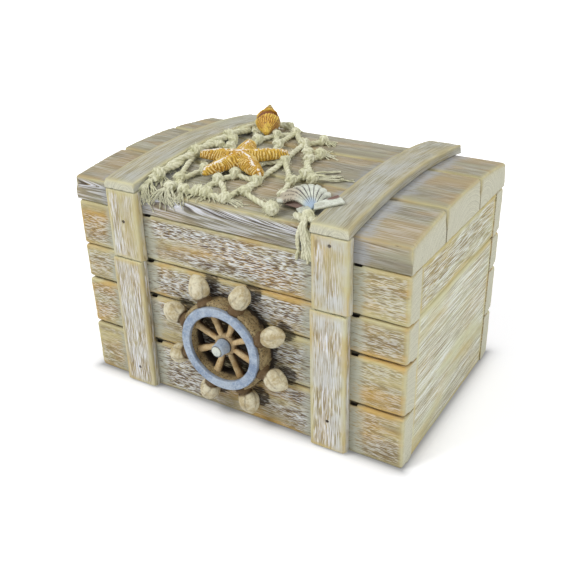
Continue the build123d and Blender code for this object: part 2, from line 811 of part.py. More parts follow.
base = build_base()
drill_base(base)
lid = build_lid()
drill_lid(lid)
write(base)
write(lid)
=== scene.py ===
"""The looks of a whitewashed treasure chest box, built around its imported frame.

Everything is in metres, in the frame's own axes: X runs along the front, Y to the back and Z up.
"""

import logging
import math
from dataclasses import dataclass, field, replace
from enum import Enum
from typing import Any, Callable, Dict, List, Optional, Sequence, Tuple

import bmesh
import bpy
import numpy as np
from mathutils import Euler, Matrix, Vector


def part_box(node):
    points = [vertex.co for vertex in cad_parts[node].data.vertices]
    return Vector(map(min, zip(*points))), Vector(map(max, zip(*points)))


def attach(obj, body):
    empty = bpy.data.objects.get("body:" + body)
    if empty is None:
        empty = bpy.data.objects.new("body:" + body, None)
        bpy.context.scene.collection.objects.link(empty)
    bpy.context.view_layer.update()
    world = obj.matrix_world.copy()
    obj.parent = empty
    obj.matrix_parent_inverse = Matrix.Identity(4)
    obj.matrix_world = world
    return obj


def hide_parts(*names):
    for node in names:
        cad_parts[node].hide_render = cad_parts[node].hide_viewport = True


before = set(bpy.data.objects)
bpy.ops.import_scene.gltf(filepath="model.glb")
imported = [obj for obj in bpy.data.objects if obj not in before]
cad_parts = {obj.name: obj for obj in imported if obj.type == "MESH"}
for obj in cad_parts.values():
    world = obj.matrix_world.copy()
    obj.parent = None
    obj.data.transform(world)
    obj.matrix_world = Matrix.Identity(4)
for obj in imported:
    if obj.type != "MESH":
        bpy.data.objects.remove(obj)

log = logging.getLogger("treasure_chest")
MM = 0.001
TURN = 2 * math.pi
Array = np.ndarray
Colour = Tuple[float, float, float, float]
Faces = List[Sequence[int]]
Field = Callable[[Array], Array]
Marks = Dict[str, Array]
Material = bpy.types.Material
Pair = Tuple[float, float]
Piece = bpy.types.Object
Triple = Tuple[float, float, float]
Values = Dict[Any, Any]


def tint(red: int, green: int, blue: int) -> Colour:
    """Turn a colour seen on a screen into the linear one that a shader takes.

    Args:
        red: Red from 0 to 255.
        green: Green from 0 to 255.
        blue: Blue from 0 to 255.

    Returns:
        Linear red, green, blue and full opacity.
    """
    shares = [value / 255 for value in (red, green, blue)]
    linear = [share / 12.92 if share < 0.04045 else ((share + 0.055) / 1.055) ** 2.4 for share in shares]
    return (linear[0], linear[1], linear[2], 1.0)


def ease(values: Array, low: float, high: float) -> Array:
    """Rise smoothly from 0 at low to 1 at high."""
    share = np.clip((values - low) / (high - low), 0, 1)
    return share * share * (3 - 2 * share)


def lattice_noise(points: Array, seed: int) -> Array:
    """Smooth random values on a unit lattice.

    Args:
        points: Places, one row each.
        seed: Which field of values to read.

    Returns:
        A value from 0 to 1 for each place.
    """
    cell = np.floor(points).astype(np.int64)
    part = points - cell
    part = part * part * (3 - 2 * part)
    total = np.zeros(len(points))
    primes = np.array([73856093, 19349663, 83492791])
    for corner in range(8):
        step = np.array([corner & 1, (corner >> 1) & 1, (corner >> 2) & 1])
        key = (cell + step) @ primes + seed * 40503
        key = (key ^ (key >> 13)) * 1274126177
        key = key ^ (key >> 16)
        total += (key & 0xFFFF) / 65535 * np.prod(np.where(step, part, 1 - part), axis=1)
    return total


def layered_noise(points: Array, seed: int, layers: int = 3) -> Array:
    """Several lattice noises, each half as large and twice as fine as the last.

    Args:
        points: Places, one row each.
        seed: Which field of values to read.
        layers: How many noises there are.

    Returns:
        A value from 0 to 1 for each place.
    """
    total = np.zeros(len(points))
    weight = 0.0
    for layer in range(layers):
        share = 0.5 ** layer
        total += share * lattice_noise(points * 2 ** layer, seed + layer * 17)
        weight += share
    return total / weight


def store(mesh: bpy.types.Mesh, attributes: Marks) -> None:
    """Shade a mesh smooth and keep numbers or vectors on its corners.

    Args:
        mesh: The mesh.
        attributes: The values for each corner, by name.
    """
    for key, values in attributes.items():
        kind, target = ("FLOAT_VECTOR", "vector") if values.ndim == 2 else ("FLOAT", "value")
        layer = mesh.attributes.new(key, kind, "POINT")
        layer.data.foreach_set(target, values.astype(np.float32).ravel())
    mesh.polygons.foreach_set("use_smooth", [True] * len(mesh.polygons))


def make_object(
    name: str, points: Array, faces: Faces, attributes: Optional[Marks] = None
) -> Piece:
    """Make a smooth-shaded mesh object at the origin.

    Args:
        name: The object's name.
        points: Its corners, one row each.
        faces: The corners of each face, seen anticlockwise from outside.
        attributes: Numbers or vectors for each corner, by name.

    Returns:
        The linked object.
    """
    mesh = bpy.data.meshes.new(name)
    mesh.from_pydata(points.tolist(), [], [list(face) for face in faces])
    store(mesh, attributes or {})
    mesh.update()
    made = bpy.data.objects.new(name, mesh)
    bpy.context.scene.collection.objects.link(made)
    return made


def settle(piece: Piece, body: str, nodes: Sequence[str], material: Optional[Any] = None) -> None:
    """Give a finished piece its material and body, and hide the nodes that it stands for.

    Args:
        piece: The finished piece.
        body: The body that it rides on.
        nodes: The nodes that it replaces.
        material: Its material, or none where it has its own.
    """
    if material is not None:
        piece.data.materials.clear()
        piece.data.materials.append(material)
    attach(piece, body)
    if nodes:
        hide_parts(*nodes)
    log.info("%s: %d faces on %s", piece.name, len(piece.data.polygons), body)


class Sock:
    """A node socket that takes arithmetic, and adds the nodes that work it out."""

    def __init__(self, tree: "Tree", socket: bpy.types.NodeSocket) -> None:
        """Wrap a socket of a tree."""
        self.tree = tree
        self.socket = socket

    @property
    def is_vector(self) -> bool:
        """Whether the socket holds a vector."""
        return self.socket.type == "VECTOR"

    def __add__(self, other: Any) -> "Sock":
        """The sum."""
        return self.tree.reckon("ADD", self, other)

    __radd__ = __add__

    def __sub__(self, other: Any) -> "Sock":
        """The difference."""
        return self.tree.reckon("SUBTRACT", self, other)

    def __rsub__(self, other: Any) -> "Sock":
        """The difference, the other way round."""
        return self.tree.reckon("SUBTRACT", other, self)

    def __mul__(self, other: Any) -> "Sock":
        """The product."""
        return self.tree.reckon("MULTIPLY", self, other)

    __rmul__ = __mul__


class Tree:
    """A node tree that is written as calls and sums."""

    def __init__(self, nodes: bpy.types.NodeTree) -> None:
        """Wrap a node tree."""
        self.nodes = nodes

    def add(
        self, kind: str, settings: Optional[Values] = None, inputs: Optional[Values] = None
    ) -> bpy.types.Node:
        """Add one node.

        Args:
            kind: The node's type.
            settings: Its properties, which are set first.
            inputs: A value or a socket for each input, by name or number.

        Returns:
            The node.
        """
        node = self.nodes.nodes.new(kind)
        for key, value in (settings or {}).items():
            setattr(node, key, value)
        for key, value in (inputs or {}).items():
            if isinstance(value, Sock):
                self.nodes.links.new(value.socket, node.inputs[key])
            else:
                node.inputs[key].default_value = value
        return node

    def out(self, node: bpy.types.Node, key: Any = 0) -> Sock:
        """Wrap one output of a node."""
        return Sock(self, node.outputs[key])

    def get(
        self, kind: str, settings: Optional[Values] = None, inputs: Optional[Values] = None, key: Any = 0
    ) -> Sock:
        """Add one node and wrap one of its outputs."""
        return self.out(self.add(kind, settings, inputs), key)

    def reckon(self, operation: str, first: Any, second: Any) -> Sock:
        """Join two sockets or numbers with the maths node that fits them.

        Args:
            operation: What the node works out.
            first: A socket, a number or a triple.
            second: The other one.

        Returns:
            The result, a vector where either is one.
        """
        pair = (first, second)
        vector = any(isinstance(item, tuple) or (isinstance(item, Sock) and item.is_vector) for item in pair)
        kind = "ShaderNodeVectorMath" if vector else "ShaderNodeMath"
        node = self.add(kind, {"operation": operation})
        for index, item in enumerate(pair):
            if isinstance(item, Sock):
                self.nodes.links.new(item.socket, node.inputs[index])
            elif vector and not isinstance(item, tuple):
                node.inputs[index].default_value = (item, item, item)
            else:
                node.inputs[index].default_value = item
        return self.out(node)


class Shader(Tree):
    """A material's node tree with the patterns that the finishes share."""

    def __init__(self, name: str) -> None:
        """Start an empty material.

        Args:
            name: The material's name.
        """
        self.material = bpy.data.materials.new(name)
        self.material.use_nodes = True
        self.material.node_tree.nodes.clear()
        super().__init__(self.material.node_tree)

    def attribute(self, name: str, output: str = "Fac") -> Sock:
        """A number or vector stored on the piece's corners."""
        return self.get("ShaderNodeAttribute", {"attribute_name": name}, key=output)

    def place(self) -> Sock:
        """The place on the piece, in the object's own axes."""
        return self.get("ShaderNodeTexCoord", key="Object")

    def combine(self, x: Any, y: Any, z: Any) -> Sock:
        """A vector from three numbers or sockets."""
        return self.get("ShaderNodeCombineXYZ", None, {0: x, 1: y, 2: z})

    def noise(self, place: Sock, detail: float = 2.0, rough: float = 0.5, scale: float = 1.0) -> Sock:
        """Noise from 0 to 1 whose grain is one unit of the place given."""
        inputs = {"Vector": place, "Scale": scale, "Detail": detail, "Roughness": rough}
        return self.get("ShaderNodeTexNoise", None, inputs)

    def cells(self, place: Sock) -> Sock:
        """Distance to the nearest of scattered points."""
        inputs = {"Vector": place, "Scale": 1.0}
        return self.get("ShaderNodeTexVoronoi", {"feature": "F1"}, inputs, key="Distance")

    def step(self, value: Sock, low: float, high: float) -> Sock:
        """Rise smoothly from 0 at low to 1 at high, or fall where low is the larger.

        Args:
            value: What is compared.
            low: Where the result is 0.
            high: Where the result is 1.

        Returns:
            A share from 0 to 1.
        """
        inputs = {"Value": value, "From Min": min(low, high), "From Max": max(low, high)}
        risen = self.get("ShaderNodeMapRange", {"interpolation_type": "SMOOTHSTEP"}, inputs)
        return risen if low < high else 1 - risen

    def mix(self, factor: Any, first: Any, second: Any) -> Sock:
        """Mix two colours, each a socket or a fixed colour."""
        settings = {"data_type": "RGBA", "blend_type": "MIX", "clamp_factor": True}
        return self.get("ShaderNodeMix", settings, {0: factor, 6: first, 7: second}, key=2)

    def bump(self, height: Sock, strength: float, distance: float) -> Sock:
        """A normal from a height."""
        inputs = {"Height": height, "Strength": strength, "Distance": distance}
        return self.get("ShaderNodeBump", None, inputs)

    def close(self, inputs: Dict[str, Any]) -> Material:
        """End the tree in one surface shader.

        Args:
            inputs: The shader's inputs, by name.

        Returns:
            The material.
        """
        surface = self.add("ShaderNodeBsdfPrincipled", None, inputs)
        self.add("ShaderNodeOutputMaterial", None, {"Surface": self.out(surface)})
        return self.material


class GeometryTree(Tree):
    """A geometry node group with named inputs, which ends in a plain dressed mesh."""

    def __init__(self, name: str) -> None:
        """Start a group that takes and gives geometry.

        Args:
            name: The group's name.
        """
        self.group = bpy.data.node_groups.new(name, "GeometryNodeTree")
        self.group.interface.new_socket("Geometry", in_out="INPUT", socket_type="NodeSocketGeometry")
        self.group.interface.new_socket("Geometry", in_out="OUTPUT", socket_type="NodeSocketGeometry")
        super().__init__(self.group)
        self.entry = self.add("NodeGroupInput")
        self.exit = self.add("NodeGroupOutput")
        self.geometry = self.out(self.entry, "Geometry")

    def input(self, name: str, kind: str = "NodeSocketFloat") -> Sock:
        """Add a named input."""
        self.group.interface.new_socket(name, in_out="INPUT", socket_type=kind)
        return self.out(self.entry, name)

    def end(self, geometry: Sock) -> None:
        """Make what comes in real, smooth and dressed, as the group's result.

        Args:
            geometry: The geometry that comes in.
        """
        material = self.input("Material", "NodeSocketMaterial")
        real = self.get("GeometryNodeRealizeInstances", None, {0: geometry})
        smooth = self.get("GeometryNodeSetShadeSmooth", None, {"Geometry": real})
        dressed = self.get("GeometryNodeSetMaterial", None, {"Geometry": smooth, "Material": material})
        self.nodes.links.new(dressed.socket, self.exit.inputs[0])

    def apply(self, source: Piece, name: str, values: Dict[str, Any]) -> Piece:
        """Run the group on an object and keep the result as a plain mesh.

        Args:
            source: The object that holds the starting geometry, which is then deleted.
            name: The new piece's name.
            values: The group's inputs, by name.

        Returns:
            The new piece.
        """
        modifier = source.modifiers.new("nodes", "NODES")
        modifier.node_group = self.group
        for item in self.group.interface.items_tree:
            if item.in_out == "INPUT" and item.name in values:
                modifier[item.identifier] = values[item.name]
        depsgraph = bpy.context.evaluated_depsgraph_get()
        mesh = bpy.data.meshes.new_from_object(source.evaluated_get(depsgraph), depsgraph=depsgraph)
        mesh.name = name
        bpy.data.objects.remove(source)
        made = bpy.data.objects.new(name, mesh)
        bpy.context.scene.collection.objects.link(made)
        return made


def ring_of_copies() -> GeometryTree:
    """A group that sets copies of its mesh round the wheel's middle, each a little different.

    Returns:
        The group.
    """
    tree = GeometryTree("ring_of_copies")
    count = tree.input("Count", "NodeSocketInt")
    first = tree.input("First Angle")
    centre = tree.input("Centre", "NodeSocketVector")
    roughness = tree.input("Unevenness")
    scale = tree.input("Noise Scale")
    points = tree.add("GeometryNodeMeshLine", None, {"Count": count, "Offset": (0.0, 0.0, 0.0)})
    index = tree.get("GeometryNodeInputIndex")
    angle = tree.reckon("DIVIDE", index * TURN, count) + first
    turn = tree.get("ShaderNodeCombineXYZ", None, {2: angle})
    copies = tree.add(
        "GeometryNodeInstanceOnPoints", None,
        {"Points": tree.out(points), "Instance": tree.geometry, "Rotation": turn},
    )
    real = tree.get("GeometryNodeRealizeInstances", None, {0: tree.out(copies)})
    place = tree.get("GeometryNodeInputPosition")
    noise = tree.get("ShaderNodeTexNoise", None, {"Vector": place, "Scale": scale, "Detail": 2.0})
    normal = tree.get("GeometryNodeInputNormal")
    moved = tree.add(
        "GeometryNodeSetPosition", None, {"Geometry": real, "Offset": normal * ((noise - 0.5) * roughness)},
    )
    set_up = {"Geometry": tree.out(moved), "Translation": centre, "Rotation": Euler((math.pi / 2, 0.0, 0.0))}
    tree.end(tree.get("GeometryNodeTransform", None, set_up))
    return tree


def copies_at_points() -> GeometryTree:
    """A group that sets copies of another object on its own points, turned by an attribute.

    Returns:
        The group.
    """
    tree = GeometryTree("copies_at_points")
    model = tree.input("Model", "NodeSocketObject")
    turn = tree.add("GeometryNodeInputNamedAttribute", {"data_type": "FLOAT_VECTOR"}, {"Name": "turn"})
    info = tree.add("GeometryNodeObjectInfo", {"transform_space": "ORIGINAL"}, {"Object": model})
    inputs = {
        "Points": tree.geometry, "Instance": tree.out(info, "Geometry"),
        "Rotation": tree.out(turn, "Attribute"),
    }
    tree.end(tree.get("GeometryNodeInstanceOnPoints", None, inputs))
    return tree


def twisted_cord() -> GeometryTree:
    """A group that turns curves into laid cotton cord with loose fibres standing out of it.

    Returns:
        The group.
    """
    tree = GeometryTree("twisted_cord")
    radius = tree.input("Radius")
    turns = tree.input("Turns Per Metre")
    ply = tree.input("Ply Depth")
    wobble = tree.input("Wobble")
    step = tree.input("Step")
    sides = tree.input("Sides", "NodeSocketInt")
    fibres = tree.input("Fibre Density")
    fibre_length = tree.input("Fibre Length")
    seed = tree.input("Seed", "NodeSocketInt")
    line = tree.get("GeometryNodeResampleCurve", {"mode": "LENGTH"}, {"Curve": tree.geometry, "Length": step})
    place = tree.get("GeometryNodeInputPosition")
    noise = tree.get("ShaderNodeTexNoise", None, {"Vector": place, "Scale": 260.0, "Detail": 2.0}, key=1)
    shift = tree.reckon("SUBTRACT", tree.reckon("MULTIPLY", noise, (1.0, 1.0, 0.6)), (0.5, 0.5, 0.3)) * wobble
    line = tree.get("GeometryNodeSetPosition", None, {"Geometry": line, "Offset": shift})
    along = tree.get("GeometryNodeSplineParameter", key="Length")
    line = tree.get("GeometryNodeSetCurveTilt", None, {"Curve": line, "Tilt": along * turns * TURN})
    profile = tree.get("GeometryNodeCurvePrimitiveCircle", None, {"Resolution": sides, "Radius": radius})
    index = tree.get("GeometryNodeInputIndex")
    angle = tree.reckon("DIVIDE", index * TURN, sides)
    dip = 0.5 - tree.reckon("COSINE", angle * 3.0, 0.0) * 0.5
    stored = {"data_type": "FLOAT", "domain": "POINT"}
    # The dip between plies is kept for the painted shade there.
    profile = tree.get(
        "GeometryNodeStoreNamedAttribute", stored, {"Geometry": profile, "Name": "deep", "Value": dip},
    )
    drawn = tree.get("GeometryNodeInputPosition") * (1 - dip * ply)
    profile = tree.get("GeometryNodeSetPosition", None, {"Geometry": profile, "Position": drawn})
    tube = tree.get(
        "GeometryNodeCurveToMesh", None, {"Curve": line, "Profile Curve": profile, "Fill Caps": True},
    )
    spots = tree.add(
        "GeometryNodeDistributePointsOnFaces", None, {"Mesh": tube, "Density": fibres, "Seed": seed},
    )
    bend = tree.add(
        "GeometryNodeCurveQuadraticBezier", None,
        {"Resolution": 2, "Start": (0.0, 0.0, -0.1), "Middle": (0.1, 0.0, 0.5), "End": (0.6, 0.2, 0.9)},
    )
    thin = tree.add("GeometryNodeCurvePrimitiveCircle", None, {"Resolution": 3, "Radius": 0.045})
    hair = tree.add(
        "GeometryNodeCurveToMesh", None, {"Curve": tree.out(bend), "Profile Curve": tree.out(thin)},
    )
    spin = tree.add(
        "FunctionNodeRandomValue", {"data_type": "FLOAT_VECTOR"},
        {0: (-0.9, -0.9, -3.1), 1: (0.9, 0.9, 3.1), "Seed": seed},
    )
    spin_out = tree.out(spin, 0)
    turned = tree.add(
        "FunctionNodeRotateEuler", {"space": "LOCAL"},
        {"Rotation": tree.out(spots, "Rotation"), "Rotate By": spin_out},
    )
    grown = tree.add("FunctionNodeRandomValue", {"data_type": "FLOAT"}, {2: 0.4, 3: 1.0, "Seed": seed})
    size = tree.out(grown, 1) * fibre_length
    hairs = tree.add(
        "GeometryNodeInstanceOnPoints", None,
        {"Points": tree.out(spots), "Instance": tree.out(hair), "Rotation": tree.out(turned), "Scale": size},
    )
    joined = tree.add("GeometryNodeJoinGeometry")
    tree.nodes.links.new(tube.socket, joined.inputs[0])
    tree.nodes.links.new(tree.out(hairs).socket, joined.inputs[0])
    tree.end(tree.out(joined))
    return tree


@dataclass(frozen=True)
class WoodFinish:
    """Softwood under worn whitewash: dashes of paint and stain along the grain, and sanded rims."""

    name: str
    light: Colour
    dark: Colour
    ochre: Colour
    paint: Colour
    stain: Colour
    rim: Colour = tint(212, 206, 162)
    wash: Colour = tint(178, 180, 164)
    end_light: Colour = tint(214, 212, 190)
    end_grey: Colour = tint(190, 188, 168)
    # The colour of the painted shadow that the wheel casts on the front boards.
    painted_shadow: Colour = tint(46, 38, 34)
    # Near black, painted as the shade inside brad holes and slots.
    hole: Colour = tint(30, 24, 20)
    dash_length: float = 6 * MM
    dash_width: float = 0.8 * MM
    paint_cover: float = 0.85
    stain_cover: float = 0.8
    ochre_cover: float = 0.6
    rim_cover: float = 0.85
    calm: float = 0.0
    stray: float = 1.2 * MM

    def build(self) -> Material:
        """Make the material.

        Returns:
            The finished material.
        """
        shader = Shader(self.name)
        grain = shader.attribute("grain", "Vector")
        edge = shader.attribute("edge")
        groove = shader.attribute("groove")
        wander = shader.noise(grain * (17.0, 130.0, 130.0), 1.0) - 0.5
        lines = grain + shader.combine(0.0, wander * self.stray, wander * self.stray)
        along = 1 / self.dash_length
        across = 1 / self.dash_width
        dash = shader.noise(lines * (along, across, across), 1.0, 0.4)
        coarse = lines * (along * 0.5, across * 0.75, across * 0.75) + (3.1, 7.7, 1.3)
        second_dash = shader.noise(coarse, 2.0, 0.6)
        bands = shader.noise(lines * (4.0, 120.0, 120.0), 2.0)
        patch = shader.noise(grain * (24.0, 70.0, 70.0) + (9.0, 2.0, 5.0), 2.0)
        zone = shader.noise(grain * (13.0, 48.0, 48.0) + (1.7, 8.1, 3.3), 1.5)
        hair = shader.noise(lines * (190.0, 4300.0, 4300.0), 1.0)
        worn = shader.noise(grain * (300.0, 700.0, 700.0), 2.0)
        washed = shader.attribute("wash") * shader.step(worn * 0.5 + dash * 0.5, 0.30, 0.52)
        rimmed = shader.step(edge + (worn - 0.5) * 0.16, 0.10, 0.30)
        loud = (1 - (1 - shader.attribute("bold")) * self.calm) * (1 - rimmed * 0.7)
        colour = shader.mix(shader.step(bands, 0.36, 0.62), self.dark, self.light)
        colour = shader.mix(shader.step(patch, 0.44, 0.64) * self.ochre_cover, colour, self.ochre)
        stained = shader.step(dash, 0.51, 0.44) * shader.step(zone, 0.30, 0.52)
        stained = stained + shader.step(second_dash, 0.45, 0.36) * 0.4
        colour = shader.mix(stained * self.stain_cover * loud, colour, self.stain)
        painted = shader.step(dash, 0.51, 0.57) * shader.step(zone, 0.32, 0.50)
        painted = painted + shader.step(second_dash, 0.58, 0.65) * 0.4 + groove * 0.12
        colour = shader.mix(painted * self.paint_cover * loud, colour, self.paint)
        colour = shader.mix(shader.step(hair, 0.55, 0.75) * loud * 0.3, colour, self.paint)
        colour = shader.mix(shader.step(hair, 0.46, 0.30) * loud * 0.35, colour, self.stain)
        colour = shader.mix(washed * 0.85, colour, self.wash)
        rim = shader.mix(shader.step(patch, 0.42, 0.58) * 0.75, self.rim, self.ochre)
        rubbed = edge * (worn * 0.9 + 0.55) * self.rim_cover
        colour = shader.mix(rubbed, colour, rim)
        cap = shader.attribute("cap")
        speck = shader.noise(grain * (400.0, 1500.0, 2600.0), 2.0, 0.7)
        ring = shader.attribute("ring") + (worn - 0.5) * 0.0005
        rings = shader.noise(shader.combine(ring * 1300, 0.0, 0.0), 1.0)
        end = shader.mix(shader.step(rings * 0.55 + speck * 0.45, 0.40, 0.60), self.end_grey, self.end_light)
        end = shader.mix(edge * 0.8, end, self.rim)
        colour = shader.mix(cap, colour, end)
        # Painted shadow of the wheel's rim and handles on the front boards.
        shadowed = shader.step(shader.attribute("grimy") + (worn - 0.5) * 0.9 - (dash - 0.5) * 1.6, 0.32, 0.80)
        colour = shader.mix(shadowed * 0.85, colour, self.painted_shadow)
        # Painted shade in the brad holes and slots.
        colour = shader.mix(shader.attribute("hole"), colour, self.hole)
        height = dash * 0.5 + hair * 0.35 + speck * cap * 0.6 - groove * 0.4
        return shader.close({
            "Base Color": colour,
            "Roughness": 0.84 - painted * 0.1,
            "Specular IOR Level": 0.25,
            "Normal": shader.bump(height, 0.55, 0.35 * MM),
        })


@dataclass(frozen=True)
class ResinFinish:
    """Painted cast resin: chalky colour on what stands out, and painted shade in what lies back or faces the
    boards.
    """

    name: str
    pale: Colour
    colour: Colour
    # The colour of painted shade, which also darkens cracks and worn edges.
    shadow: Colour
    speck: Colour
    grain: float = 900.0
    streak: Triple = (1.0, 1.0, 1.0)
    bump: float = 0.5
    cracks: float = 0.15

    def build(self) -> Material:
        """Make the material from the piece's place and its attribute of painted shade and wear.

        Returns:
            The finished material.
        """
        shader = Shader(self.name)
        place = shader.place()
        deep = shader.attribute("deep")
        broad = shader.noise(place * 150.0, 3.0, 0.6)
        fine = shader.noise(place * self.streak, 3.0, 0.65, self.grain)
        grit = shader.noise(place * 2600.0, 2.0)
        colour = shader.mix(shader.step(broad * 0.6 + fine * 0.4, 0.36, 0.62), self.colour, self.pale)
        colour = shader.mix(shader.step(fine, 0.60, 0.74) * 0.55, colour, self.speck)
        colour = shader.mix(shader.step(grit, 0.58, 0.74) * 0.35, colour, self.pale)
        crack = shader.noise(place * 1050.0 + (3.0, 8.0, 5.0), 3.0, 0.7)
        colour = shader.mix(shader.step(crack, 0.48, 0.38) * self.cracks, colour, self.shadow)
        # Painted shade where the piece lies back, faces the boards or sits in a crease.
        sunk = shader.step(deep + (fine - 0.5) * 0.5, 0.25, 0.85)
        colour = shader.mix(sunk, colour, self.shadow)
        height = fine * 0.5 + grit * 0.2 + shader.step(crack, 0.36, 0.52) * 0.3
        return shader.close({
            "Base Color": colour,
            "Roughness": 0.78 - grit * 0.12,
            "Specular IOR Level": 0.3,
            "Normal": shader.bump(height, self.bump, 0.4 * MM),
        })


@dataclass(frozen=True)
class CottonFinish:
    """Unbleached cotton cord with a green-cream cast, and painted shade between its plies."""

    name: str
    pale: Colour = tint(246, 245, 220)
    body: Colour = tint(230, 229, 196)
    shade: Colour = tint(180, 176, 136)

    def build(self) -> Material:
        """Make the material.

        Returns:
            The finished material.
        """
        shader = Shader(self.name)
        place = shader.place()
        deep = shader.attribute("deep")
        yarn = shader.noise(place * 2400.0, 3.0, 0.7)
        broad = shader.noise(place * 120.0, 2.0)
        colour = shader.mix(shader.step(broad, 0.35, 0.65), self.body, self.pale)
        colour = shader.mix(shader.step(yarn, 0.50, 0.30) * 0.35, colour, self.shade)
        # Painted shade between the plies.
        colour = shader.mix(deep * 0.6, colour, self.shade)
        return shader.close({
            "Base Color": colour,
            "Roughness": 0.95,
            "Specular IOR Level": 0.1,
            "Normal": shader.bump(yarn, 0.7, 0.3 * MM),
        })


@dataclass(frozen=True)
class MetalFinish:
    """Small hardware: plain metal, brushed and a little tarnished."""

    name: str
    bright: Colour
    dull: Colour
    rough: float = 0.35

    def build(self) -> Material:
        """Make the material.

        Returns:
            The finished material.
        """
        shader = Shader(self.name)
        place = shader.place()
        stain = shader.noise(place * 170.0, 4.0, 0.6)
        brush = shader.noise(place * (300.0, 3000.0, 6000.0), 1.0)
        tarnish = shader.step(stain + (brush - 0.5) * 0.3, 0.34, 0.78)
        colour = shader.mix(tarnish, self.bright, self.dull)
        return shader.close({
            "Base Color": colour,
            "Metallic": 1 - tarnish * 0.35,
            "Roughness": self.rough + tarnish * 0.25 + brush * 0.08,
            "Normal": shader.bump(brush * 0.5 + stain * 0.5, 0.2, 0.1 * MM),
        })


@dataclass(frozen=True)
class ChestSizes:
    """Sizes of the chest that its boxes in the frame don't give."""

    arch_rise: float = 5 * MM
    plank_edge_height: float = 13.5 * MM
    strap_fit: float = 0.15 * MM
    edge_worn: float = 1.8 * MM
    strap_worn: float = 1.1 * MM
    end_worn: float = 1.1 * MM
    groove: float = 0.20 * MM
    net_top: float = 2.8 * MM

    @property
    def half_depth(self) -> float:
        """Half the depth over the front and back boards."""
        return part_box("base_back_board_top")[1].y

    @property
    def plank_bottom(self) -> float:
        """The underside of the top planks."""
        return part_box("lid_top_plank_middle")[0].z

    @property
    def arch_radius(self) -> float:
        """The radius of the arched top."""
        return (self.half_depth ** 2 + self.arch_rise ** 2) / (2 * self.arch_rise)

    @property
    def arch_centre(self) -> float:
        """The height of the arch's centre."""
        return self.plank_bottom + self.plank_edge_height + self.arch_rise - self.arch_radius

    def arch(self, y: Any, lift: Any = 0.0) -> Any:
        """Height of the arched top at a depth, raised by lift."""
        return self.arch_centre + np.sqrt((self.arch_radius + lift) ** 2 - y ** 2)


SIZES = ChestSizes()


class Side(Enum):
    """The way that a piece's weathered face looks."""

    FRONT = (1, -1)
    BACK = (1, 1)
    LEFT = (0, -1)
    RIGHT = (0, 1)
    TOP = (2, 1)

    @property
    def axis(self) -> int:
        """The axis that the face is square to."""
        return self.value[0]

    @property
    def sign(self) -> int:
        """Which way the face looks along its axis."""
        return self.value[1]


class Carve(Enum):
    """How a straight piece takes the lid's arch."""

    NONE = 0
    PLANK = 1
    STRAP = 2


